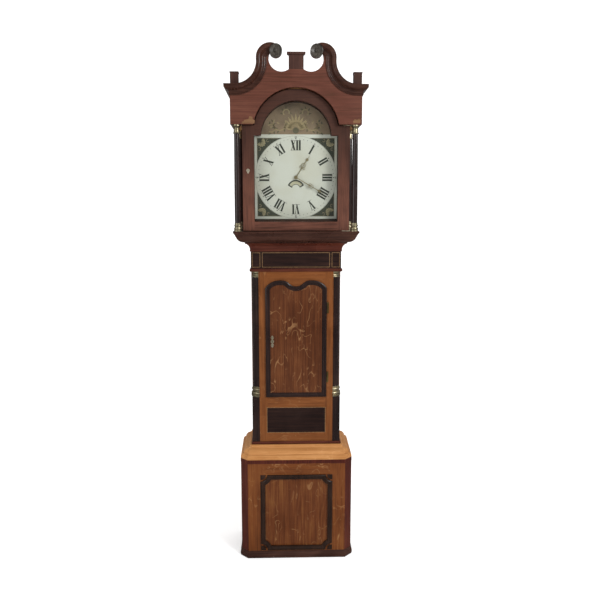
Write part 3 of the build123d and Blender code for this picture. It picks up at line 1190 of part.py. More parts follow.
def minute_hand():
    """The minute hand on its pipe, with the wheel that drives it and the collet that holds it."""
    turned_hand = Pos(*HANDS) * Rot(0, 0, -MINUTE_HAND_ANGLE) * hand_shape(MINUTE_HAND_LENGTH, 8.0)
    hand = slab(turned_hand, MINUTE_HAND_BACK, MINUTE_HAND_BACK + HAND_THICK)
    wheel = slab(wheel_face(HANDS, CANNON_TEETH, MOTION_MODULE, CANNON_PHASE, 8), *FIRST_MOTION)
    pipe = rod(*HANDS, PIPE_RADIUS, FIRST_MOTION[0], MINUTE_HAND_BACK + HAND_THICK)
    collet = rod(*HANDS, 5.5, MINUTE_HAND_BACK + HAND_THICK, MINUTE_HAND_BACK + HAND_THICK + 1.6)
    bore = rod(*HANDS, POST_RADIUS + RUNNING, FIRST_MOTION[0] - 1, MINUTE_HAND_BACK + HAND_THICK + 4)
    return [hand + wheel + pipe + collet - bore]


POST_RADIUS = 1.6
PIPE_RADIUS = 3.2
HOUR_PIPE_RADIUS = 6.0


def hour_hand():
    """The hour hand on the outer pipe, with the hour wheel behind the dial."""
    turned_hand = Pos(*HANDS) * Rot(0, 0, -HOUR_HAND_ANGLE) * hand_shape(HOUR_HAND_LENGTH, 9.5)
    hand = slab(turned_hand, HOUR_HAND_BACK, HOUR_HAND_BACK + HAND_THICK)
    wheel = slab(wheel_face(HANDS, HOUR_WHEEL_TEETH, HOUR_MODULE, HOUR_PHASE, 10), *SECOND_MOTION)
    pipe = rod(*HANDS, HOUR_PIPE_RADIUS, SECOND_MOTION[0], HOUR_HAND_BACK + HAND_THICK)
    bore = rod(*HANDS, PIPE_RADIUS + RUNNING, SECOND_MOTION[0] - 1, HOUR_HAND_BACK + HAND_THICK + 1)
    return [hand + wheel + pipe - bore]


def minute_wheel():
    """The wheel and pinion between the minute hand's wheel and the hour wheel."""
    wheel = slab(wheel_face(MINUTE_WHEEL, MINUTE_WHEEL_TEETH, MOTION_MODULE, MINUTE_WHEEL_PHASE, 6), *FIRST_MOTION)
    pinion = slab(pinion_face(MINUTE_WHEEL, MINUTE_PINION_LEAVES, HOUR_MODULE, MINUTE_WHEEL_PHASE),
                  FIRST_MOTION[0], SECOND_MOTION[1] + 1)
    bore = rod(*MINUTE_WHEEL, POST_RADIUS + RUNNING, FIRST_MOTION[0] - 1, SECOND_MOTION[1] + 2)
    return [wheel + pinion - bore]


DATE_FORWARD = (174.5, 176.0)


def date_disc():
    """The disc of dates behind the dial's slot, with its ratchet edge."""
    points = []
    for i in range(DATE_TEETH):
        for reach, share in ((DATE_DISC_RADIUS - 1.4, 0.1), (DATE_DISC_RADIUS, 0.9)):
            angle = 2 * pi * (i + share) / DATE_TEETH
            points.append((DATE[0] + reach * cos(angle), DATE[1] + reach * sin(angle)))
    face = make_face(Polyline(points, close=True)) - disc(*DATE, POST_RADIUS + RUNNING)
    return [slab(face, *DATE_FORWARD)]


def strike_great_wheel():
    """The striking side's great wheel, with its rope pulley and the pins that lift the hammer."""
    wheel = great_wheel(STRIKE_GREAT, STRIKE_GREAT_FORWARD, GREAT_PHASE)
    for i in range(13):
        wheel = wheel + rod(*away(STRIKE_GREAT, 41.0, 360 / 13 * i), 1.2, STRIKE_GREAT_FORWARD[1] - 1,
                            STRIKE_GREAT_FORWARD[1] + 3)
    return [wheel]


def strike_second_wheel():
    wheel = slab(wheel_face(STRIKE_SECOND, STRIKE_SECOND_TEETH, SECOND_MODULE, STRIKE_PHASE, 7),
                 *STRIKE_SECOND_FORWARD)
    pinion = slab(pinion_face(STRIKE_SECOND, PINION_LEAVES, GREAT_MODULE, STRIKE_PHASE),
                  STRIKE_GREAT_FORWARD[0] - 1, STRIKE_GREAT_FORWARD[1] + 1)
    return [wheel + pinion + arbor(STRIKE_SECOND)]


def fly():
    """The air brake of the striking train: a pinion and two flat vanes."""
    pinion = slab(pinion_face(FLY, PINION_LEAVES, SECOND_MODULE, FLY_PHASE), *widened(STRIKE_SECOND_FORWARD, 2))
    vane = slab(rectangle(FLY[0] - 11, FLY[0] + 11, FLY[1] - 0.4, FLY[1] + 0.4),
                STRIKE_SECOND_FORWARD[1] + 5, FRONT_PLATE_BACK - 5)
    return [pinion + vane + arbor(FLY, 1.5)]


HAMMER_PLANE = 118.0
HAMMER_GAP = 1.5


def hammer():
    """The hammer's arbor, its slim arm and its round-faced head beside the bell's rim."""
    strike = BELL_RIM + 8
    face_x = -BELL_RADIUS - HAMMER_GAP
    arm = slab(outline((HAMMER[0] - 2, HAMMER[1]), (HAMMER[0] + 2, HAMMER[1]), (face_x - 6, strike),
                       (face_x - 10, strike)), HAMMER_PLANE - 2, HAMMER_PLANE + 2)
    head = block((face_x - 16, face_x), (HAMMER_PLANE - 5, HAMMER_PLANE + 5), (strike - 5, strike + 5))
    tail = slab(rectangle(HAMMER[0], HAMMER[0] + 9, HAMMER[1] - 1.5, HAMMER[1] + 1.5), STRIKE_GREAT_FORWARD[1] + 1,
                STRIKE_GREAT_FORWARD[1] + 3)
    return [arm + head + tail + arbor(HAMMER)]


def bell():
    """The bell, mouth down, bored at the crown for its screw."""
    radius, high, wall = BELL_RADIUS, BELL_HEIGHT, BELL_WALL
    section = outline((radius - wall, 0), (radius, 0), (radius * 0.8, high * 0.68, 4, high), (4, high - wall),
                      (radius * 0.8 - wall * 0.8, high * 0.68 - wall * 0.8, radius - wall, 0))
    return [turned(section, 0, HAMMER_PLANE, BELL_RIM)]


def dial():
    """The painted iron dial with its date slot, and four feet that reach back to the front plate."""
    half = DIAL_SIZE / 2
    sheet = arched(half, HANDS_HEIGHT - half, HANDS_HEIGHT + half, DIAL_ARCH_RADIUS, DIAL_ARCH_CENTRE)
    ring = disc(*DATE, DATE_SLOT_OUTER) - disc(*DATE, DATE_SLOT_INNER)
    reach = 2 * DATE_SLOT_OUTER
    spread = radians(DATE_SLOT_HALF_ANGLE)
    wedge = Pos(*DATE) * outline((0, 0), (reach * sin(spread), reach * cos(spread)),
                                 (-reach * sin(spread), reach * cos(spread)))
    sheet = sheet - (ring & wedge) - disc(*HANDS, HOUR_PIPE_RADIUS + 1.5)
    feet = [rod(x, HANDS_HEIGHT + z, 3, FRONT_PLATE_FRONT, DIAL_FRONT - DIAL_THICK)
            for x in (-66, 66) for z in (-85, 62)]
    return [slab(sheet, DIAL_FRONT - DIAL_THICK, DIAL_FRONT)] + feet


def movement_frame():
    """Two brass plates on four pillars, the studs of the motion work, the rear cock and the bell stand."""
    half, low, high = PLATE_WIDTH / 2, SEAT_TOP, SEAT_TOP + PLATE_HEIGHT
    plate = rectangle(-half, half, low, high)
    for place in (GREAT, SECOND, ESCAPE, ANCHOR, STRIKE_GREAT, STRIKE_SECOND, FLY, HAMMER):
        plate = plate - disc(*place, PIVOT_RADIUS + RUNNING)
    drive_hole = disc(*GREAT, ARBOR_RADIUS + RUNNING)
    spindle_hole = disc(*ANCHOR, 2.5)
    front = slab(plate - drive_hole, FRONT_PLATE_BACK, FRONT_PLATE_FRONT)
    back = slab(plate - spindle_hole, BACK_PLATE_BACK, BACK_PLATE_FRONT)
    pillars = [rod(x, z, PILLAR_RADIUS, BACK_PLATE_FRONT, FRONT_PLATE_BACK)
               for x, z in ((-half + 8, low + 8), (half - 8, low + 8), (-40, high - 8), (40, high - 8))]
    studs = [rod(*HANDS, POST_RADIUS, FRONT_PLATE_FRONT, MINUTE_HAND_BACK + 5),
             rod(*MINUTE_WHEEL, POST_RADIUS, FRONT_PLATE_FRONT, SECOND_MOTION[1] + 2),
             rod(*DATE, POST_RADIUS, FRONT_PLATE_FRONT, DATE_FORWARD[1] + 1)]
    cock = slab(rectangle(-14, 14, ANCHOR[1] - 6, high), COCK_BACK, COCK_BACK + 3)
    for x in ((-14, -11), (11, 14)):
        cock = cock + block(x, (COCK_BACK, BACK_PLATE_BACK), (ANCHOR[1] - 6, high))
    stud = block((-5, 5), (PENDULUM_PLANE - 4, COCK_BACK), (ANCHOR[1] + 0.4, ANCHOR[1] + 9))
    cock = cock + stud - rod(*ANCHOR, PIVOT_RADIUS + RUNNING, COCK_BACK - 1, COCK_BACK + 4)
    top = BELL_RIM + BELL_HEIGHT + 1
    stand = block((58, 64), (BACK_PLATE_BACK - 4, BACK_PLATE_BACK), (high - 25, top + 6))
    stand = stand + block((-5, 64), (BACK_PLATE_BACK - 4, BACK_PLATE_BACK), (top + 1, top + 6))
    stand = stand + block((-5, 5), (BACK_PLATE_BACK - 4, HAMMER_PLANE + 5), (top, top + 6))
    stand = stand + post(0, HAMMER_PLANE, 3.0, top - 6, top + 1)
    return [front, back, cock, stand] + pillars + studs


# Weights and rope

def weight():
    """The driving weight: a lead cylinder hung from the fork of its pulley."""
    top = WEIGHT_PULLEY_HEIGHT
    body_top = top - WEIGHT_DROP + 30
    body = post(0, ROPE_PLANE, WEIGHT_RADIUS, body_top - WEIGHT_LENGTH, body_top)
    neck = post(0, ROPE_PLANE, 3, body_top - 2, top - PULLEY_RIM_RADIUS - 3)
    reach = PULLEY_THICK / 2 + 1
    bridge = block((-5, 5), (ROPE_PLANE - reach - 2, ROPE_PLANE + reach + 2),
                   (top - PULLEY_RIM_RADIUS - 5, top - PULLEY_RIM_RADIUS - 2))
    cheeks = [block((-5, 5), side, (top - PULLEY_RIM_RADIUS - 5, top + 6))
              for side in ((ROPE_PLANE - reach - 2, ROPE_PLANE - reach), (ROPE_PLANE + reach, ROPE_PLANE + reach + 2))]
    axle = rod(0, top, 2, ROPE_PLANE - reach - 2, ROPE_PLANE + reach + 2)
    return [body + neck + bridge + cheeks[0] + cheeks[1] + axle]


def weight_pulley():
    place = (0.0, WEIGHT_PULLEY_HEIGHT)
    return [rope_pulley(place, ROPE_PLANE) - rod(*place, 2 + RUNNING, ROPE_PLANE - 20, ROPE_PLANE + 20)]


def ring_weight():
    """The small lead ring that keeps the slack side of the rope straight."""
    place = Pos(0, y_at(RING_FORWARD), RING_HEIGHT - RING_MAJOR + RING_MINOR + ROPE_RADIUS + 0.4)
    return [place * Rot(0, 90, 0) * Torus(RING_MAJOR, RING_MINOR)]


def tube(points, bends):
    """A round rope through a list of points, with the given bend radii."""
    line = FilletPolyline(*points, radius=bends)
    start = Plane(line @ 0, z_dir=line % 0)
    return sweep(start * Circle(ROPE_RADIUS), path=line)


def rope_weight_side():
    """From the top of one pulley, down, round under the weight's pulley and up to the other."""
    y, over, under = y_at(ROPE_PLANE), GREAT[1] + PULLEY_ROPE_RADIUS, WEIGHT_PULLEY_HEIGHT - PULLEY_ROPE_RADIUS
    near = GREAT_OFFSET - PULLEY_ROPE_RADIUS
    points = [(GREAT_OFFSET, y, over), (near, y, over), (near, y, under), (-near, y, under), (-near, y, over),
              (-GREAT_OFFSET, y, over)]
    bend = PULLEY_ROPE_RADIUS - 0.01
    return [tube(points, [bend, bend, bend, bend])]


def rope_ring_side():
    """The slack side, drawn forward and together by the ring weight."""
    y, over = y_at(ROPE_PLANE), GREAT[1] + PULLEY_ROPE_RADIUS
    far = GREAT_OFFSET + PULLEY_ROPE_RADIUS
    front = y_at(RING_FORWARD)
    points = [(GREAT_OFFSET, y, over), (far, y, over), (far, y, GREAT[1] - 60),
              (14, front, RING_HEIGHT + 60), (9, front, RING_HEIGHT), (-9, front, RING_HEIGHT),
              (-14, front, RING_HEIGHT + 60), (-far, y, GREAT[1] - 60), (-far, y, over), (-GREAT_OFFSET, y, over)]
    bend = PULLEY_ROPE_RADIUS - 0.01
    return [tube(points, [bend, 120, 120, 8.5, 8.5, 120, 120, bend])]


NODES = {
    "plinth": plinth, "base_floor": base_floor, "base_sides": base_sides, "base_banding": base_banding,
    "base_front_frame": base_front_frame, "base_panel": base_panel, "base_panel_moulding": base_panel_moulding,
    "shoulder_moulding": shoulder_moulding, "trunk_mouldings": trunk_mouldings, "backboard": backboard,
    "trunk_sides": trunk_sides, "trunk_front_frame": trunk_front_frame, "trunk_inlay_panel": trunk_inlay_panel,
    "trunk_frieze": trunk_frieze, "stringing": stringing, "quarter_columns": quarter_columns,
    "quarter_column_brasses": quarter_column_brasses, "seatboard": seatboard,
    "case_hinge_leaves": case_hinge_leaves, "door_hinge_leaves": door_hinge_leaves,
    "trunk_door_board": trunk_door_board, "trunk_door_moulding": trunk_door_moulding,
    "trunk_door_lock": trunk_door_lock, "trunk_lock_bolt": trunk_lock_bolt,
    "hood_sides": hood_sides, "hood_front": hood_front, "hood_side_friezes": hood_side_friezes,
    "hood_top_boards": hood_top_boards, "hood_cornice": hood_cornice, "finial_blocks": finial_blocks,
    "rosettes": rosettes, "hood_columns": hood_columns, "hood_column_brasses": hood_column_brasses,
    "hood_base_moulding": hood_base_moulding, "dial_mask": dial_mask,
    "hood_door_frame": hood_door_frame, "hood_door_glass": hood_door_glass, "hood_door_brasses": hood_door_brasses,
    "movement_frame": movement_frame, "dial": dial, "bell": bell, "hammer": hammer,
    "going_great_wheel": going_great_wheel, "going_second_wheel": going_second_wheel,
    "escape_wheel": escape_wheel, "anchor": anchor, "pendulum_rod": pendulum_rod, "pendulum_bob": pendulum_bob,
    "minute_hand": minute_hand, "hour_hand": hour_hand, "minute_wheel": minute_wheel, "date_disc": date_disc,
    "strike_great_wheel": strike_great_wheel, "strike_second_wheel": strike_second_wheel, "fly": fly,
    "weight": weight, "weight_pulley": weight_pulley, "ring_weight": ring_weight,
    "rope_weight_side": rope_weight_side, "rope_ring_side": rope_ring_side,
}


def solids_of(pieces):
    return [solid for piece in pieces for solid in piece.solids()]


os.makedirs("parts", exist_ok=True)
for name, make in NODES.items():
    export_step(Compound(children=solids_of(make())), f"parts/{name}.step")
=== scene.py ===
import math

import bmesh
import bpy
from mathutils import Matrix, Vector


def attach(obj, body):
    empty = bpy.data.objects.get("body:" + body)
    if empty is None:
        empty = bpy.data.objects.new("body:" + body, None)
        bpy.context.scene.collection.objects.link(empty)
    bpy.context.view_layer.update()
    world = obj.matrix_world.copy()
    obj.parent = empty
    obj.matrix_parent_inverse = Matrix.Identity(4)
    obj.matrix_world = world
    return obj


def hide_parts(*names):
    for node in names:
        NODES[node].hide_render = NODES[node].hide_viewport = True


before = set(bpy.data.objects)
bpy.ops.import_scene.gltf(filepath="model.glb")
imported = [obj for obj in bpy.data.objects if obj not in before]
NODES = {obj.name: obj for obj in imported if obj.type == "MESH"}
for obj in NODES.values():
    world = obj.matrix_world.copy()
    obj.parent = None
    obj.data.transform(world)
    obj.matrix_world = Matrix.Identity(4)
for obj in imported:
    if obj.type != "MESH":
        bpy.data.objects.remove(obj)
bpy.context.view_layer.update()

# Metres. X is to the viewer's right and Y goes towards the wall. Made pieces are drawn in millimetres:
# across, up from the floor and forward of the wall.
MM = 0.001
WALL_Y = 0.1425
# Heights of the hands' axis and of the centre of the dial's arch
HANDS = 1695.0
ARCH = 1856.0
# How far the faces that carry made pieces stand forward of the wall
DIAL_FACE = 180.0
HOOD_FACE = 262.0
DOOR_FACE = 202.0
BASE_FACE = 251.0


def y_at(forward):
    """The Y of a plane that many millimetres forward of the wall."""
    return WALL_Y - forward * MM


def at(x, z, radius, angle):
    """The point at that radius round a centre, with the angle in degrees up from across."""
    return x + radius * math.cos(math.radians(angle)), z + radius * math.sin(math.radians(angle))


def arc_points(x, z, radius, start, end, steps):
    return [at(x, z, radius, start + (end - start) * i / steps) for i in range(steps + 1)]


def band(x, z, inner, outer, start, end, steps):
    """An arc-shaped band as a row of four-sided shapes."""
    near = arc_points(x, z, inner, start, end, steps)
    far = arc_points(x, z, outer, start, end, steps)
    return [[near[i], far[i], far[i + 1], near[i + 1]] for i in range(steps)]


def colour(text):
    """A hex colour as linear RGBA."""
    values = [int(text[i:i + 2], 16) / 255 for i in (0, 2, 4)]
    return [v / 12.92 if v <= 0.04045 else ((v + 0.055) / 1.055) ** 2.4 for v in values] + [1.0]


# Node trees

def node(tree, kind, inputs=None, **props):
    item = tree.nodes.new(kind)
    for key, value in props.items():
        setattr(item, key, value)
    for key, value in (inputs or {}).items():
        if isinstance(value, bpy.types.NodeSocket):
            tree.links.new(value, item.inputs[key])
        else:
            item.inputs[key].default_value = value
    return item


def ramp(tree, value, stops):
    item = node(tree, "ShaderNodeValToRGB", {0: value})
    elements = item.color_ramp.elements
    while len(elements) < len(stops):
        elements.new(0.5)
    for element, (place, tint) in zip(elements, stops):
        element.position = place
        element.color = tint
    return item.outputs["Color"]


def maths(tree, operation, a, b=0.0):
    return node(tree, "ShaderNodeMath", {0: a, 1: b}, operation=operation).outputs[0]


def blended(tree, factor, a, b):
    item = node(tree, "ShaderNodeMix", {0: factor, 6: a, 7: b}, data_type="RGBA")
    return item.outputs[2]


def mapped(tree, value, low, high, to_low=0.0, to_high=1.0):
    """The value carried from one range into another, and kept inside it."""
    return node(tree, "ShaderNodeMapRange", {0: value, 1: low, 2: high, 3: to_low, 4: to_high}).outputs[0]


def stretched(tree, vector, scale):
    return node(tree, "ShaderNodeVectorMath", {0: vector, 1: scale}, operation="MULTIPLY").outputs[0]


def noise(tree, vector, scale, detail, distortion=0.0):
    inputs = {"Vector": vector, "Scale": scale, "Detail": detail, "Distortion": distortion}
    return node(tree, "ShaderNodeTexNoise", inputs).outputs["Fac"]


def along_axis(tree, place, axis):
    """How far a place lies along one axis."""
    return node(tree, "ShaderNodeSeparateXYZ", {0: place}).outputs[axis]


def group(name, masks):
    """A node group that takes a place and puts out masks."""
    tree = bpy.data.node_groups.new(name, "ShaderNodeTree")
    tree.interface.new_socket(name="Vector", in_out="INPUT", socket_type="NodeSocketVector")
    for label in masks:
        tree.interface.new_socket(name=label, in_out="OUTPUT", socket_type="NodeSocketFloat")
    start = node(tree, "NodeGroupInput")
    end = node(tree, "NodeGroupOutput")
    return tree, start.outputs["Vector"], end.inputs


# Noise scales, the third number along the grain
STREAKS = (330, 330, 5)
PORES = (1100, 1100, 30)
FIGURE = (7, 7, 0.9)
RAYS = (17, 17, 9)
# Noise scales that are the same each way
RAY_PATCHES = 15.0
CLOUDS = 7.0
SPECKS = 260.0
# How finely a noise is cut into lines
RINGS = 70.0
RAY_LINES = 5.0


def grain_group():
    """Streaks, pores and figure of sawn wood, running along the vector's Z."""
    tree, vector, ends = group("Grain", ["Streak", "Pores", "Figure"])
    bent = noise(tree, stretched(tree, vector, FIGURE), 1.0, 3.0, 0.5)
    figure = maths(tree, "SINE", maths(tree, "MULTIPLY", bent, RINGS))
    tree.links.new(noise(tree, stretched(tree, vector, STREAKS), 1.0, 5.0, 0.2), ends["Streak"])
    tree.links.new(noise(tree, stretched(tree, vector, PORES), 1.0, 2.0), ends["Pores"])
    tree.links.new(mapped(tree, figure, -1.0, 1.0), ends["Figure"])
    return tree


def fleck_group():
    """Pale wavy ray flecks that cross the grain, in patches."""
    tree, vector, ends = group("Flecks", ["Fleck"])
    wave = noise(tree, stretched(tree, vector, RAYS), 1.0, 2.0, 1.0)
    turns = maths(tree, "FRACT", maths(tree, "MULTIPLY", wave, RAY_LINES))
    line = maths(tree, "ABSOLUTE", maths(tree, "SUBTRACT", turns, 0.5))
    thin = mapped(tree, line, 0.01, 0.09, 1.0, 0.0)
    where = mapped(tree, noise(tree, vector, RAY_PATCHES, 3.0), 0.46, 0.60)
    tree.links.new(maths(tree, "MULTIPLY", thin, where), ends["Fleck"])
    return tree


def wear_group():
    """Slow cloudy change of tone, for polish and dirt, and fine specks."""
    tree, vector, ends = group("Wear", ["Cloud", "Specks"])
    tree.links.new(noise(tree, vector, CLOUDS, 5.0, 0.5), ends["Cloud"])
    tree.links.new(noise(tree, vector, SPECKS, 4.0), ends["Specks"])
    return tree


GRAIN = grain_group()
FLECKS = fleck_group()
WEAR = wear_group()


# Materials

def blank(name):
    """A material with nothing in its tree."""
    item = bpy.data.materials.new(name)
    item.use_nodes = True
    item.node_tree.nodes.clear()
    return item, item.node_tree


def principled(name):
    item, tree = blank(name)
    shader = node(tree, "ShaderNodeBsdfPrincipled")
    node(tree, "ShaderNodeOutputMaterial", {"Surface": shader.outputs[0]})
    return item, tree, shader.inputs


def use(tree, which, vector):
    item = node(tree, "ShaderNodeGroup", node_tree=which)
    tree.links.new(vector, item.inputs["Vector"])
    return item.outputs


def soft_edge(tree, radius):
    return node(tree, "ShaderNodeBevel", {"Radius": radius}, samples=4).outputs["Normal"]


ALONG_Z = (0, 0, 0)
ALONG_X = (0, math.pi / 2, 0)
STREAK_SHARE = 0.55
CLOUD_SHARE = 0.35
FIGURE_SHARE = 0.06
TONE_STOPS = (0.33, 0.50, 0.70)
PORE_DARKNESS = 0.35
RAY_TINT = "c8a070"
RAY_PALENESS = 0.35
# How far the painted shade goes towards the dark tint at its upper height
SHADE_DARKNESS = 0.75
WOOD_GLOSS = 0.16


def wood(name, tints, along=ALONG_Z, rails=None, fleck=0.0, rough=0.42, edge=0.0012, shine=0.06, dim=None):
    """Polished wood in a dark, a middle and a light tint.

    Rails is the half width inside which the grain runs across, and dim two heights between which painted
    shade darkens the wood upwards.
    """
    item, tree, sockets = principled(name)
    dark, middle, light = [colour(text) for text in tints]
    place = node(tree, "ShaderNodeTexCoord").outputs["Object"]
    vector = node(tree, "ShaderNodeMapping", {"Vector": place, "Rotation": along}).outputs[0]
    if rails:
        across = node(tree, "ShaderNodeMapping", {"Vector": place, "Rotation": ALONG_X}).outputs[0]
        sideways = maths(tree, "ABSOLUTE", along_axis(tree, place, "X"))
        inside = maths(tree, "LESS_THAN", sideways, rails)
        turned = node(tree, "ShaderNodeMix", {0: inside, 4: vector, 5: across}, data_type="VECTOR")
        vector = turned.outputs[1]
    grain = use(tree, GRAIN, vector)
    wear = use(tree, WEAR, place)
    tone = maths(tree, "MULTIPLY", grain["Streak"], STREAK_SHARE)
    tone = maths(tree, "ADD", tone, maths(tree, "MULTIPLY", grain["Figure"], FIGURE_SHARE))
    tone = maths(tree, "ADD", tone, maths(tree, "MULTIPLY", wear["Cloud"], CLOUD_SHARE))
    tone = maths(tree, "ADD", tone, (1 - STREAK_SHARE - CLOUD_SHARE - FIGURE_SHARE) / 2)
    tint = ramp(tree, tone, list(zip(TONE_STOPS, (dark, middle, light))))
    tint = blended(tree, mapped(tree, grain["Pores"], 0.36, 0.50, PORE_DARKNESS, 0.0), tint, dark)
    if fleck:
        flecks = use(tree, FLECKS, vector)
        pale = blended(tree, RAY_PALENESS, light, colour(RAY_TINT))
        tint = blended(tree, maths(tree, "MULTIPLY", flecks["Fleck"], fleck), tint, pale)
    # Painted shade: between the two heights the tint is blended towards the dark tint, darker upwards
    if dim:
        shadow = mapped(tree, along_axis(tree, place, "Z"), dim[0], dim[1], 0.0, SHADE_DARKNESS)
        tint = blended(tree, shadow, tint, dark)
    tree.links.new(tint, sockets["Base Color"])
    tree.links.new(mapped(tree, wear["Cloud"], 0.3, 0.7, rough - 0.08, rough + 0.1), sockets["Roughness"])
    bump = node(tree, "ShaderNodeBump", {"Height": grain["Pores"], "Strength": 0.12, "Distance": 0.0004})
    if edge:
        tree.links.new(soft_edge(tree, edge), bump.inputs["Normal"])
    tree.links.new(bump.outputs[0], sockets["Normal"])
    sockets["Specular IOR Level"].default_value = WOOD_GLOSS
    sockets["Coat Weight"].default_value = shine
    sockets["Coat Roughness"].default_value = 0.18
    return item


METAL_EDGE = 0.0006


def metal(name, low, high, rough, metallic=1.0, dirt=None):
    """Aged metal between two tints, with specks of dirt."""
    item, tree, sockets = principled(name)
    place = node(tree, "ShaderNodeTexCoord").outputs["Object"]
    wear = use(tree, WEAR, place)
    tint = ramp(tree, wear["Cloud"], [(0.35, colour(low)), (0.68, colour(high))])
    tint = blended(tree, mapped(tree, wear["Specks"], 0.52, 0.70, 0.0, 0.7), tint, colour(dirt or low))
    tree.links.new(tint, sockets["Base Color"])
    tree.links.new(mapped(tree, wear["Specks"], 0.3, 0.7, rough - 0.08, rough + 0.15), sockets["Roughness"])
    tree.links.new(soft_edge(tree, METAL_EDGE), sockets["Normal"])
    sockets["Metallic"].default_value = metallic
    return item


def paint(name, tint, rough, mottle=None, amount=0.35, mask="Cloud"):
    """Flat paint, with a second tint mottled into it."""
    item, tree, sockets = principled(name)
    place = node(tree, "ShaderNodeTexCoord").outputs["Object"]
    factor = mapped(tree, use(tree, WEAR, place)[mask], 0.4, 0.7, 0.0, amount)
    tree.links.new(blended(tree, factor, colour(tint), colour(mottle or tint)), sockets["Base Color"])
    sockets["Roughness"].default_value = rough
    return item


def clear_glass(name):
    item, tree = blank(name)
    through = node(tree, "ShaderNodeBsdfTransparent", {"Color": (0.97, 0.98, 0.97, 1)})
    gloss = node(tree, "ShaderNodeBsdfGlossy", {"Color": (1, 1, 1, 1), "Roughness": 0.03})
    rim = node(tree, "ShaderNodeFresnel", {"IOR": 1.35})
    factor = maths(tree, "MULTIPLY", rim.outputs[0], 0.6)
    mix = node(tree, "ShaderNodeMixShader", {0: factor, 1: through.outputs[0], 2: gloss.outputs[0]})
    node(tree, "ShaderNodeOutputMaterial", {"Surface": mix.outputs[0]})
    return item


# Half widths, in metres, inside which the rails of each frame run
TRUNK_RAILS = 0.1255
BASE_RAILS = 0.1498
HOOD_DOOR_RAILS = 0.1738
# Heights, in metres, between which painted shade darkens the hood door upwards towards its arched top
HOOD_DOOR_SHADE = (1.50, 1.86)

OAK = wood("oak", ("512b11", "71401b", "7f4b24"), rails=TRUNK_RAILS, fleck=0.25)
BASE_OAK = wood("base_oak", ("4c260c", "6b3916", "7f4d22"), rails=BASE_RAILS, fleck=0.5)
SIDE_OAK = wood("side_oak", ("4c2a10", "693c1c", "7a4c28"))
DOOR_OAK = wood("door_oak", ("3a1b0a", "522a12", "6e4020"), fleck=0.62)
PANEL_OAK = wood("panel_oak", ("46220b", "5f3114", "7c4e24"), fleck=0.4)
LIGHT_OAK = wood("light_oak", ("965f2e", "b47d49", "cc955f"), along=ALONG_X, fleck=0.4)
MAHOGANY = wood("mahogany", ("44281b", "583126", "683f30"), along=ALONG_X)
# The hood door's frame, with painted shade that darkens it towards its top
SHADED_STILE_MAHOGANY = wood("stile_mahogany", ("2c1a14", "643e31", "774a38"), rails=HOOD_DOOR_RAILS,
                      dim=HOOD_DOOR_SHADE)
SIDE_MAHOGANY = wood("side_mahogany", ("2e1a15", "422a23", "54362c"))
DARK_MAHOGANY = wood("dark_mahogany", ("0f0706", "20110e", "34201a"), rough=0.28, shine=0.5)
DARK_CROSS = wood("dark_cross", ("120807", "24130f", "342018"), along=ALONG_X)
RED_MOULD = wood("red_mould", ("24130e", "3b231b", "523428"), along=ALONG_X, rough=0.3)
BEAD_RED = wood("bead_red", ("30120c", "4c2318", "6a3624"), along=ALONG_X, rough=0.3)
BLACK_WOOD = wood("black_wood", ("120a06", "26160e", "3c261a"), rough=0.32, shine=0.3)
ROSETTE_WOOD = wood("rosette_wood", ("1c1815", "3c3731", "5e584f"), rough=0.36, shine=0.3)
MASK_WOOD = wood("mask_wood", ("2a1a12", "3c281c", "4c3626"), rough=0.5)
BARE_WOOD = wood("bare_wood", ("573e2a", "6e5038", "866649"), along=ALONG_X, rough=0.8, shine=0.0)
CANT_RED = wood("cant_red", ("2c0f09", "491c12", "602c1c"), rough=0.35)
DEAL = wood("deal", ("6b4a2a", "8c663a", "a37c4c"), rough=0.7, shine=0.0, edge=0.0)
PALE_LINE = paint("pale_line", "8a683e", 0.5, "4c301c", 0.8, "Specks")
BRASS = metal("old_brass", "5f5132", "9c8856", 0.36, dirt="403a2a")
CAP_BRASS = metal("cap_brass", "8c8368", "d2c6a6", 0.34, dirt="4e4634")
PLATE_BRASS = metal("plate_brass", "b3a888", "e0d8c4", 0.4, dirt="7a7058")
HAND_METAL = metal("hand_metal", "8d8468", "b0a684", 0.45, dirt="97714a")
STEEL = metal("old_steel", "4a4a48", "8a8a86", 0.38)
LEAD = metal("lead", "44464a", "6c6e72", 0.6, metallic=0.6)
ROPE = paint("rope", "a08a5c", 0.9, "6e5a36", 0.8, "Specks")
DIAL_WHITE = paint("dial_white", "cfd0c6", 0.34, "bdb8a2", 0.5)
NUMERAL = paint("numeral_ink", "2a2e24", 0.5)
FAINT_INK = paint("faint_ink", "6a6a52", 0.5)
SPANDREL = paint("spandrel_ground", "34382a", 0.4, "4c4e3c", 0.8, "Specks")
TAN = paint("tan_paint", "94886a", 0.45, "6a6248", 0.7, "Specks")
GOLD_PAINT = paint("gold_paint", "a79c78", 0.4, "7a7052", 0.7, "Specks")
ARCH_GROUND = paint("arch_ground", "87725a", 0.45, "5e4f3c", 0.9)
ARCH_LIGHT = paint("arch_light", "988560", 0.45, "7d7354", 0.7, "Specks")
ARCH_DARK = paint("arch_dark", "55503a", 0.5, "6a624a", 0.6, "Specks")
DATE_WHITE = paint("date_white", "c4c0a4", 0.5, "98906e", 0.5)
GLASS = clear_glass("window_glass")

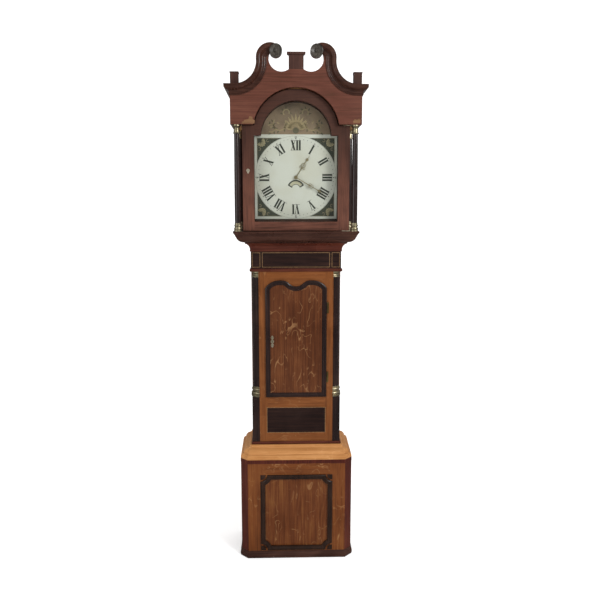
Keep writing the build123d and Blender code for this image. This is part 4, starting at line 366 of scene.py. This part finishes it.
DRESS = {
    "plinth": RED_MOULD, "base_floor": DEAL, "base_sides": SIDE_OAK, "base_banding": CANT_RED,
    "base_front_frame": BASE_OAK, "base_panel": PANEL_OAK, "base_panel_moulding": BLACK_WOOD,
    "shoulder_moulding": LIGHT_OAK, "trunk_mouldings": BEAD_RED, "backboard": DEAL,
    "trunk_sides": SIDE_OAK, "trunk_front_frame": OAK, "trunk_inlay_panel": DARK_CROSS,
    "trunk_frieze": DARK_CROSS, "stringing": PALE_LINE, "quarter_columns": DARK_MAHOGANY,
    "quarter_column_brasses": CAP_BRASS, "seatboard": DEAL, "case_hinge_leaves": BRASS,
    "door_hinge_leaves": BRASS, "trunk_door_board": DOOR_OAK, "trunk_door_moulding": DARK_MAHOGANY,
    "trunk_door_lock": PLATE_BRASS, "trunk_lock_bolt": STEEL, "hood_sides": SIDE_MAHOGANY,
    "hood_front": MAHOGANY, "hood_side_friezes": MAHOGANY, "hood_top_boards": DEAL,
    "hood_cornice": RED_MOULD, "finial_blocks": SIDE_MAHOGANY, "rosettes": ROSETTE_WOOD,
    "hood_columns": DARK_MAHOGANY, "hood_column_brasses": CAP_BRASS, "hood_base_moulding": RED_MOULD,
    "dial_mask": MASK_WOOD, "hood_door_frame": SHADED_STILE_MAHOGANY, "hood_door_glass": GLASS,
    "hood_door_brasses": PLATE_BRASS, "movement_frame": BRASS, "dial": DIAL_WHITE, "bell": BRASS,
    "hammer": STEEL, "going_great_wheel": BRASS, "going_second_wheel": BRASS, "escape_wheel": BRASS,
    "anchor": STEEL, "pendulum_rod": STEEL, "pendulum_bob": BRASS, "minute_hand": HAND_METAL,
    "hour_hand": HAND_METAL, "minute_wheel": BRASS, "date_disc": DATE_WHITE,
    "strike_great_wheel": BRASS, "strike_second_wheel": BRASS, "fly": BRASS, "weight": LEAD,
    "weight_pulley": BRASS, "ring_weight": LEAD, "rope_weight_side": ROPE, "rope_ring_side": ROPE,
}
for name, item in DRESS.items():
    for place in NODES[name].material_slots:
        place.link = "OBJECT"
        place.material = item


# Made pieces

def piece(name, work, item, body, smooth=False):
    """A finished mesh with its material, that rides on a body."""
    mesh = bpy.data.meshes.new(name)
    work.to_mesh(mesh)
    work.free()
    for face in mesh.polygons:
        face.use_smooth = smooth
    thing = bpy.data.objects.new(name, mesh)
    bpy.context.scene.collection.objects.link(thing)
    mesh.materials.append(item)
    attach(thing, body)
    return thing


def walled(work, first, second):
    """Faces between two closed loops of points."""
    for i in range(len(first)):
        j = (i + 1) % len(first)
        work.faces.new((first[i], first[j], second[j], second[i]))


def loop(work, shape, forward):
    return [work.verts.new((x * MM, y_at(forward), z * MM)) for x, z in shape]


# The angle, in radians, from which an edge is drawn sharp
SHARP = 0.6


def run_round(name, rings, item, body, extra=()):
    """A moulding lofted through closed rings, the last joined back to the first, with flat extras."""
    work = bmesh.new()
    loops = [loop(work, ring, forward) for ring, forward in rings]
    for first, second in zip(loops, loops[1:] + loops[:1]):
        walled(work, first, second)
    for shape, back, front in extra:
        low = loop(work, shape, back)
        high = loop(work, shape, front)
        work.faces.new(low)
        work.faces.new(high)
        walled(work, low, high)
    bmesh.ops.recalc_face_normals(work, faces=list(work.faces))
    for edge in work.edges:
        edge.smooth = edge.calc_face_angle(0.0) < SHARP
    return piece(name, work, item, body, smooth=True)


# The trunk door's moulding: how far in from its edge, and how proud of the door
DOOR_PROFILE = [(0, 0), (0, 1.7), (0.9, 3.3), (2.6, 4.5), (5.2, 5.0), (8.2, 4.7), (11.0, 3.7), (13.4, 2.6),
                (15.6, 2.1), (18.0, 2.2), (20.0, 1.8), (20.0, 0)]
DOOR_HALF = 133.5
DOOR_FOOT = 737.0
DOOR_CORNER = 1225.0
HUMP_TOP = 1258.0
DIP = 1232.0
HUMP_OUT = 72.0
HUMP_IN = 62.0


def door_ring(inset):
    """The trunk door's outline, brought in evenly: square below, two humps and a dip above."""
    run = DOOR_HALF - HUMP_OUT
    rise = HUMP_TOP - DOOR_CORNER
    fall = HUMP_TOP - DIP
    shoulder = (run * run + rise * rise) / (2 * rise)
    bend = (HUMP_IN * HUMP_IN + fall * fall) / (4 * fall)
    lean = math.degrees(math.asin((run - inset) / (shoulder - inset)))
    turn = math.degrees(math.asin(HUMP_IN / 2 / bend))
    right = arc_points(HUMP_OUT, HUMP_TOP - shoulder, shoulder - inset, 90 - lean, 90, 12)
    right += arc_points(HUMP_IN, HUMP_TOP - bend, bend - inset, 90, 90 + turn, 12)
    right += arc_points(0, DIP + bend, bend + inset, turn - 90, -90, 12)[1:]
    left = [(-x, z) for x, z in reversed(right[:-1])]
    foot = [(inset - DOOR_HALF, DOOR_FOOT + inset), (DOOR_HALF - inset, DOOR_FOOT + inset)]
    return foot + right + left


# The base panel's moulding, which laps the frame and comes down inside it onto the panel
PANEL_PROFILE = [(0, 0), (0, 2.4), (1.3, 4.8), (3.6, 6.4), (6.6, 7.0), (9.6, 6.4), (12.4, 5.0), (14.8, 3.9),
                 (17.4, 3.6), (20.5, 2.6), (20.5, -4.0), (10.25, -4.0), (10.25, 0)]
PANEL_HALF = 160.0
PANEL_FOOT = 36.0
PANEL_TOP = 394.0
SCOOP = 30.0
FILLET = 23.0
FILLET_THICK = 1.5
# Each corner with the angle at which its edge towards the next corner leaves
PANEL_CORNERS = [(PANEL_HALF, PANEL_FOOT, 90), (PANEL_HALF, PANEL_TOP, 180), (-PANEL_HALF, PANEL_TOP, 270),
                 (-PANEL_HALF, PANEL_FOOT, 0)]


def panel_ring(inset):
    """The base panel's outline, brought in evenly, with a quarter round taken out of each corner."""
    start = math.degrees(math.asin(inset / (SCOOP + inset)))
    ring = []
    for x, z, first in PANEL_CORNERS:
        ring += arc_points(x, z, SCOOP + inset, first + 90 - start, first + start, 12)
    return ring


def door_moulding():
    rings = [(door_ring(inset), DOOR_FACE + rise) for inset, rise in DOOR_PROFILE]
    thing = run_round("door_edge_moulding", rings, DARK_MAHOGANY, "trunk_door")
    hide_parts("trunk_door_moulding")


def panel_moulding():
    rings = [(panel_ring(inset), BASE_FACE + rise) for inset, rise in PANEL_PROFILE]
    corners = []
    for x, z, first in PANEL_CORNERS:
        quarter = [(x, z)] + arc_points(x, z, FILLET, first, first + 90, 10)
        corners.append((quarter, BASE_FACE, BASE_FACE + FILLET_THICK))
    thing = run_round("panel_edge_moulding", rings, BLACK_WOOD, "case", corners)
    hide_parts("base_panel_moulding")


PAINT_THICK = 0.05


def painted(name, shapes, forward, item, body="case"):
    """Flat painted shapes, drawn across and up, a hair's breadth proud of a surface."""
    work = bmesh.new()
    for shape in shapes:
        work.faces.new(loop(work, shape, forward))
    made = bmesh.ops.extrude_face_region(work, geom=list(work.faces))
    moved = [v for v in made["geom"] if isinstance(v, bmesh.types.BMVert)]
    bmesh.ops.translate(work, verts=moved, vec=(0, -PAINT_THICK * MM, 0))
    bmesh.ops.recalc_face_normals(work, faces=list(work.faces))
    return piece(name, work, item, body)


# Roman letters in millimetres across
THICK_STROKE = 7.6
THIN_STROKE = 2.4
LETTER_GAP = 3.4
LETTER_WIDE = 19.0
SERIF_PAST = 1.6


def letter_strokes(text):
    """Roman letters as four-sided strokes; across is centred, and the height runs from 0 to 1."""
    thick, thin, wide = THICK_STROKE, THIN_STROKE, LETTER_WIDE
    strokes = []
    left = 0.0
    for mark in text:
        if mark == "I":
            marks = [((0, 0), (thick, 0), (thick, 1), (0, 1))]
        elif mark == "V":
            marks = [((wide / 2 - 1, 0), (wide / 2 + 4, 0), (thick, 1), (0, 1)),
                     ((wide / 2, 0), (wide / 2 + thin, 0), (wide, 1), (wide - thin, 1))]
        else:
            marks = [((wide - thick, 0), (wide, 0), (thick, 1), (0, 1)),
                     ((0, 0), (thin, 0), (wide, 1), (wide - thin, 1))]
        strokes += [[(left + x, h) for x, h in stroke] for stroke in marks]
        left += (thick if mark == "I" else wide) + LETTER_GAP
    width = left - LETTER_GAP
    for low, high in ((-0.012, 0.02), (0.98, 1.012)):
        near, far = -SERIF_PAST, width + SERIF_PAST
        strokes.append([(near, low), (far, low), (far, high), (near, high)])
    return [[(x - width / 2, h) for x, h in stroke] for stroke in strokes]


NUMERALS = ["XII", "I", "II", "III", "IIII", "V", "VI", "VII", "VIII", "IX", "X", "XI"]
NUMERAL_INNER = 113.0
NUMERAL_OUTER = 154.0
DOT_RING = 160.0
MINUTE_DOT = 1.5
FIFTH_DOT = 2.3
FIGURE_RING = 166.5
FIGURE_HIGH = 6.0
CHAPTER_INNER = 171.6
CHAPTER_OUTER = 172.3


def turned_in(strokes, angle):
    """Stands strokes radially in the chapter ring, at a clockwise angle from twelve."""
    c = math.cos(math.radians(angle))
    s = math.sin(math.radians(angle))
    shapes = []
    for stroke in strokes:
        shape = []
        for across, high in stroke:
            out = NUMERAL_INNER + (NUMERAL_OUTER - NUMERAL_INNER) * high
            shape.append((across * c + out * s, HANDS - across * s + out * c))
        shapes.append(shape)
    return shapes


def chapter_ring():
    """Roman hours, a dot for each minute and a fine outer line."""
    shapes = []
    for hour, text in enumerate(NUMERALS):
        shapes += turned_in(letter_strokes(text), hour * 30)
    painted("numerals", shapes, DIAL_FACE, NUMERAL)
    dots = []
    for minute in range(60):
        x, z = at(0, HANDS, DOT_RING, 90 - minute * 6)
        size = MINUTE_DOT if minute % 5 else FIFTH_DOT
        dots.append(arc_points(x, z, size, 0, 315, 7))
    painted("minute_dots", dots, DIAL_FACE, NUMERAL)
    line = band(0, HANDS, CHAPTER_INNER, CHAPTER_OUTER, 0, 360, 120)
    painted("chapter_line", line, DIAL_FACE, FAINT_INK)


# The strokes of a small figure as two corners each, and which strokes each figure has
FIGURE_BARS = {"a": (0, 1, 1, 1), "b": (1, 0.5, 1, 1), "c": (1, 0, 1, 0.5), "d": (0, 0, 1, 0),
               "e": (0, 0, 0, 0.5), "f": (0, 0.5, 0, 1), "g": (0, 0.5, 1, 0.5)}
FIGURE_MARKS = {"0": "abcdef", "1": "bc", "3": "abgcd", "4": "fgbc", "5": "afgcd", "6": "afgecd"}


def digits(text, x, z, high):
    """Plain small figures made of straight strokes."""
    wide = high * 0.5
    gap = high * 0.28
    stroke = high * 0.09
    left = x - (len(text) * wide + (len(text) - 1) * gap) / 2
    foot = z - high / 2
    shapes = []
    for i, mark in enumerate(text):
        base = left + i * (wide + gap)
        for key in FIGURE_MARKS[mark]:
            x0, z0, x1, z1 = FIGURE_BARS[key]
            near, far = base + x0 * wide - stroke, base + x1 * wide + stroke
            low, top = foot + z0 * high - stroke, foot + z1 * high + stroke
            shapes.append([(near, low), (far, low), (far, top), (near, top)])
    return shapes


def quarter_figures():
    shapes = []
    for text, angle in (("60", 90), ("15", 0), ("30", 270), ("45", 180)):
        x, z = at(0, HANDS, FIGURE_RING, angle)
        shapes += digits(text, x, z, FIGURE_HIGH)
    painted("quarter_figures", shapes, DIAL_FACE, NUMERAL)


DIAL_EDGE = 163.6
DIAL_RING = 173.5
SHELL_PLACE = 149.0
SHELL_REACH = 23.0
RIBS = 9
RIB_STEP = 21
RIB_HALF_ANGLES = (0.15, 0.19)
# The scrolls beside a shell: across and up from the dial's middle, and first angle
SPANDREL_SCROLLS = [(153, 118, 60), (118, 153, 210)]
SCROLL_SWEEP = 250
SCROLL_INNER = 4.2
SCROLL_OUTER = 6.6
SECOND_COAT = 0.1
THIRD_COAT = 0.16
LINE_FAR = DIAL_EDGE - 1.2
LINE_NEAR = DIAL_EDGE - 2.4
LINE_START = 75.0


def shell_ribs():
    """The ribs of one corner's shell, fanned towards the dial's middle."""
    ribs = []
    for i in range(RIBS):
        aside = i - RIBS // 2
        angle = 225 + aside * RIB_STEP
        spread = math.degrees(RIB_HALF_ANGLES[i % 2])
        reach = SHELL_REACH - abs(aside) * 1.6
        corners = ((4, angle), (reach, angle - spread), (reach + 2.2, angle), (reach, angle + spread))
        ribs.append([at(SHELL_PLACE, SHELL_PLACE, radius, turn) for radius, turn in corners])
    return ribs


def spandrels():
    """Dark corners, each with a ribbed shell, a scroll each side of it and a thin frame line."""
    ring = arc_points(0, 0, DIAL_RING, 19.5, 70.5, 16)
    corner = (DIAL_EDGE, DIAL_EDGE)
    ground = [[a, b, corner] for a, b in zip(ring, ring[1:])]
    ground.append([ring[0], corner, (DIAL_EDGE, ring[0][1])])
    scrolls = []
    for x, z, start in SPANDREL_SCROLLS:
        scrolls += band(x, z, SCROLL_INNER, SCROLL_OUTER, start, start + SCROLL_SWEEP, 10)
    lines = [[(LINE_NEAR, LINE_START), (LINE_FAR, LINE_START), (LINE_FAR, LINE_FAR), (LINE_NEAR, LINE_FAR)],
             [(LINE_START, LINE_NEAR), (LINE_FAR, LINE_NEAR), (LINE_FAR, LINE_FAR), (LINE_START, LINE_FAR)]]

    def in_each_corner(shapes):
        return [[(sx * x, HANDS + sz * z) for x, z in shape]
                for sx, sz in ((1, 1), (1, -1), (-1, 1), (-1, -1)) for shape in shapes]
    painted("spandrel_grounds", in_each_corner(ground), DIAL_FACE, SPANDREL)
    painted("spandrel_shells", in_each_corner(shell_ribs()), DIAL_FACE + SECOND_COAT, GOLD_PAINT)
    painted("spandrel_scrolls", in_each_corner(scrolls + lines), DIAL_FACE + SECOND_COAT, TAN)


def leaf(x, z, angle, length, width):
    """A pointed six-sided leaf from its foot."""
    c = math.cos(math.radians(angle))
    s = math.sin(math.radians(angle))
    sides = ((0, 0), (0.35, -0.5), (0.7, -0.36), (1, 0), (0.7, 0.36), (0.35, 0.5))
    return [(x + along * length * c - side * width * s, z + along * length * s + side * width * c)
            for along, side in sides]


# The arch's scrolls: across and up from the arch's centre, radius, first angle and sweep
ARCH_SCROLLS = [(68, 60, 27, 150, 250), (104, 42, 16, 40, 260), (40, 106, 13, 200, -250)]
# The leaves in their middles: across and up, angle on the left and on the right, length and width
ARCH_HEARTS = [(68, 60, 150, 60, 15, 9), (104, 42, 90, 90, 11, 7)]
ARCH_SCROLL_IN = 3.0
ARCH_SCROLL_OUT = 2.0
LEAF_LONG = 15.0
LEAF_WIDE = 6.5
LEAF_LEAN = 35.0
ARCH_PAINT_RADIUS = 148.5
ARCH_PAINT_FOOT = 17.1
ARCH_SHELL_UP = 33.0
ARCH_SHELL_RADIUS = 13.0
ARCH_RIB_UP = 34.0
ARCH_RIB_LONG = 62.0
ARCH_RIB_WIDE = 11.5


def arch_paint():
    """A plain lunette of leafy scrolls round a fluted shell, in dull browns."""
    ring = arc_points(0, ARCH, ARCH_PAINT_RADIUS, 6.6, 173.4, 40)
    ground = [[a, b, (0, ARCH + ARCH_PAINT_FOOT)] for a, b in zip(ring, ring[1:])]
    painted("arch_ground", ground, DIAL_FACE, ARCH_GROUND)
    dark = [arc_points(0, ARCH + ARCH_SHELL_UP, ARCH_SHELL_RADIUS, 0, 330, 11)]
    light = []
    for i in range(11):
        angle = 90 + (i - 5) * 15
        x = 12 * math.cos(math.radians(angle))
        up = 10 * math.sin(math.radians(angle))
        long = ARCH_RIB_LONG - abs(i - 5) * 3.4
        light.append(leaf(x, ARCH + ARCH_RIB_UP + up, angle, long, ARCH_RIB_WIDE))
    for side in (-1, 1):
        for x, up, radius, start, sweep in ARCH_SCROLLS:
            first = start if side > 0 else 180 - start
            last = first + side * sweep
            inner = radius - ARCH_SCROLL_IN
            outer = radius + ARCH_SCROLL_OUT
            light += band(side * x, ARCH + up, inner, outer, first, last, 20)
            for step in range(5):
                angle = first + (last - first) * (step + 0.5) / 5
                foot = at(side * x, ARCH + up, radius, angle)
                dark.append(leaf(*foot, angle + LEAF_LEAN * side, LEAF_LONG, LEAF_WIDE))
        for x, up, left_angle, right_angle, long, wide in ARCH_HEARTS:
            angle = right_angle if side > 0 else left_angle
            light.append(leaf(side * x, ARCH + up, angle, long, wide))
    painted("arch_leaves", dark, DIAL_FACE + SECOND_COAT, ARCH_DARK)
    painted("arch_scrolls", light, DIAL_FACE + THIRD_COAT, ARCH_LIGHT)


def lost_veneer():
    """Small patches at the foot of the hood front where the veneer has come away."""
    left = [(-222, 1907), (-170, 1907), (-168, 1921), (-176, 1923), (-178, 1934), (-190, 1936),
            (-194, 1925), (-210, 1922), (-213, 1916), (-221, 1915)]
    right = [(232, 1910), (262, 1910), (263, 1924), (254, 1928), (249, 1923), (239, 1926), (233, 1919)]
    painted("lost_veneer", [left, right], HOOD_FACE, BARE_WOOD, "hood")


DATE_DROP = 47.0
# The arcs of the date's opening: inner and outer radius, first and last angle, and steps
DATE_ARCS = [(31.6, 37.0, 24, 156, 24), (17.4, 19.4, 30, 150, 18)]
DATE_END = (17.0, 36.0)
DATE_END_TURN = 60.0
DATE_END_WIDE = 2.2
DATE_END_FALL = 4.4


def date_mouth():
    """The dark outline of the date's opening: two arcs and a slanting end each side."""
    z = HANDS - DATE_DROP
    shapes = []
    for inner, outer, first, last, steps in DATE_ARCS:
        shapes += band(0, z, inner, outer, first, last, steps)
    for side in (-1, 1):
        end = [at(0, z, radius, 90 - side * DATE_END_TURN) for radius in DATE_END]
        moved = [(x + side * DATE_END_WIDE, up - DATE_END_FALL) for x, up in reversed(end)]
        shapes.append(end + moved)
    painted("date_outline", shapes, DIAL_FACE, NUMERAL)


door_moulding()
panel_moulding()
chapter_ring()
quarter_figures()
spandrels()
arch_paint()
date_mouth()
lost_veneer()


# Stage, light and camera

STAGE_HALF = 9.0
SWEEP_START = 1.6
SWEEP_RADIUS = 1.6
BACKDROP_TOP = 7.0
FLOOR_GAP = 0.0005
WHITE = (1, 1, 1, 1)
FLOOR_GREY = (0.9, 0.9, 0.9, 1)
MIRRORED_GREY = (0.2, 0.2, 0.2, 1)
FLOOR_GLOW = 0.36


def backdrop():
    """A pale floor that sweeps up behind the clock without a corner, and is dimmer in reflections."""
    work = bmesh.new()
    curve = arc_points(SWEEP_START, SWEEP_RADIUS, SWEEP_RADIUS, -90, 0, 12)
    line = [(-STAGE_HALF, 0.0)] + curve + [(SWEEP_START + SWEEP_RADIUS, BACKDROP_TOP)]
    left = [work.verts.new((-STAGE_HALF, y, z - FLOOR_GAP)) for y, z in line]
    right = [work.verts.new((STAGE_HALF, y, z - FLOOR_GAP)) for y, z in line]
    for i in range(len(line) - 1):
        work.faces.new((left[i], right[i], right[i + 1], left[i + 1]))
    mesh = bpy.data.meshes.new("floor")
    work.to_mesh(mesh)
    work.free()
    for face in mesh.polygons:
        face.use_smooth = True
    floor = bpy.data.objects.new("floor", mesh)
    bpy.context.scene.collection.objects.link(floor)
    item, tree, sockets = principled("floor_white")
    mirrored = node(tree, "ShaderNodeLightPath").outputs["Is Glossy Ray"]
    tree.links.new(blended(tree, mirrored, FLOOR_GREY, MIRRORED_GREY), sockets["Base Color"])
    glow = maths(tree, "MULTIPLY", maths(tree, "SUBTRACT", 1.0, mirrored), FLOOR_GLOW)
    tree.links.new(glow, sockets["Emission Strength"])
    sockets["Roughness"].default_value = 0.9
    sockets["Emission Color"].default_value = WHITE
    mesh.materials.append(item)


SKY_LIGHT = 0.6
SKY_SEEN_MORE = 0.4
SKY_MIRRORED_LESS = 0.25


def sky():
    """An even white sky, full white to the camera and dimmer in reflections."""
    world = bpy.data.worlds.new("soft_sky")
    world.use_nodes = True
    tree = world.node_tree
    light = tree.nodes["Background"]
    rays = node(tree, "ShaderNodeLightPath").outputs
    dim = maths(tree, "MULTIPLY", rays["Is Glossy Ray"], -SKY_MIRRORED_LESS)
    bright = maths(tree, "MULTIPLY", rays["Is Camera Ray"], SKY_SEEN_MORE)
    light.inputs[0].default_value = WHITE
    tree.links.new(maths(tree, "ADD", maths(tree, "ADD", dim, bright), SKY_LIGHT), light.inputs[1])
    bpy.context.scene.world = world


def lamp(name, place, target, size, power):
    data = bpy.data.lights.new(name, "AREA")
    data.size = size
    data.energy = power
    thing = bpy.data.objects.new(name, data)
    thing.location = place
    thing.rotation_euler = (Vector(target) - Vector(place)).to_track_quat("-Z", "Y").to_euler()
    bpy.context.scene.collection.objects.link(thing)


LENS = 38.4
CAMERA_PLACE = (-0.060, WALL_Y - 2.945, 1.592)
CAMERA_DOWN = 8.7
CAMERA_RIGHT = 1.609


def camera():
    """The photograph's own view."""
    data = bpy.data.cameras.new("camera")
    data.sensor_width = 36
    data.lens = LENS
    thing = bpy.data.objects.new("camera", data)
    thing.location = CAMERA_PLACE
    thing.rotation_euler = (math.radians(90 - CAMERA_DOWN), 0, math.radians(-CAMERA_RIGHT))
    bpy.context.scene.collection.objects.link(thing)
    bpy.context.scene.camera = thing


backdrop()
sky()
lamp("key", (2.1, -2.4, 2.9), (0, 0, 1.2), 1.2, 85)
lamp("fill", (-2.4, -2.6, 1.9), (0, 0, 1.0), 1.4, 22)
camera()
bpy.context.scene.view_settings.view_transform = "Standard"
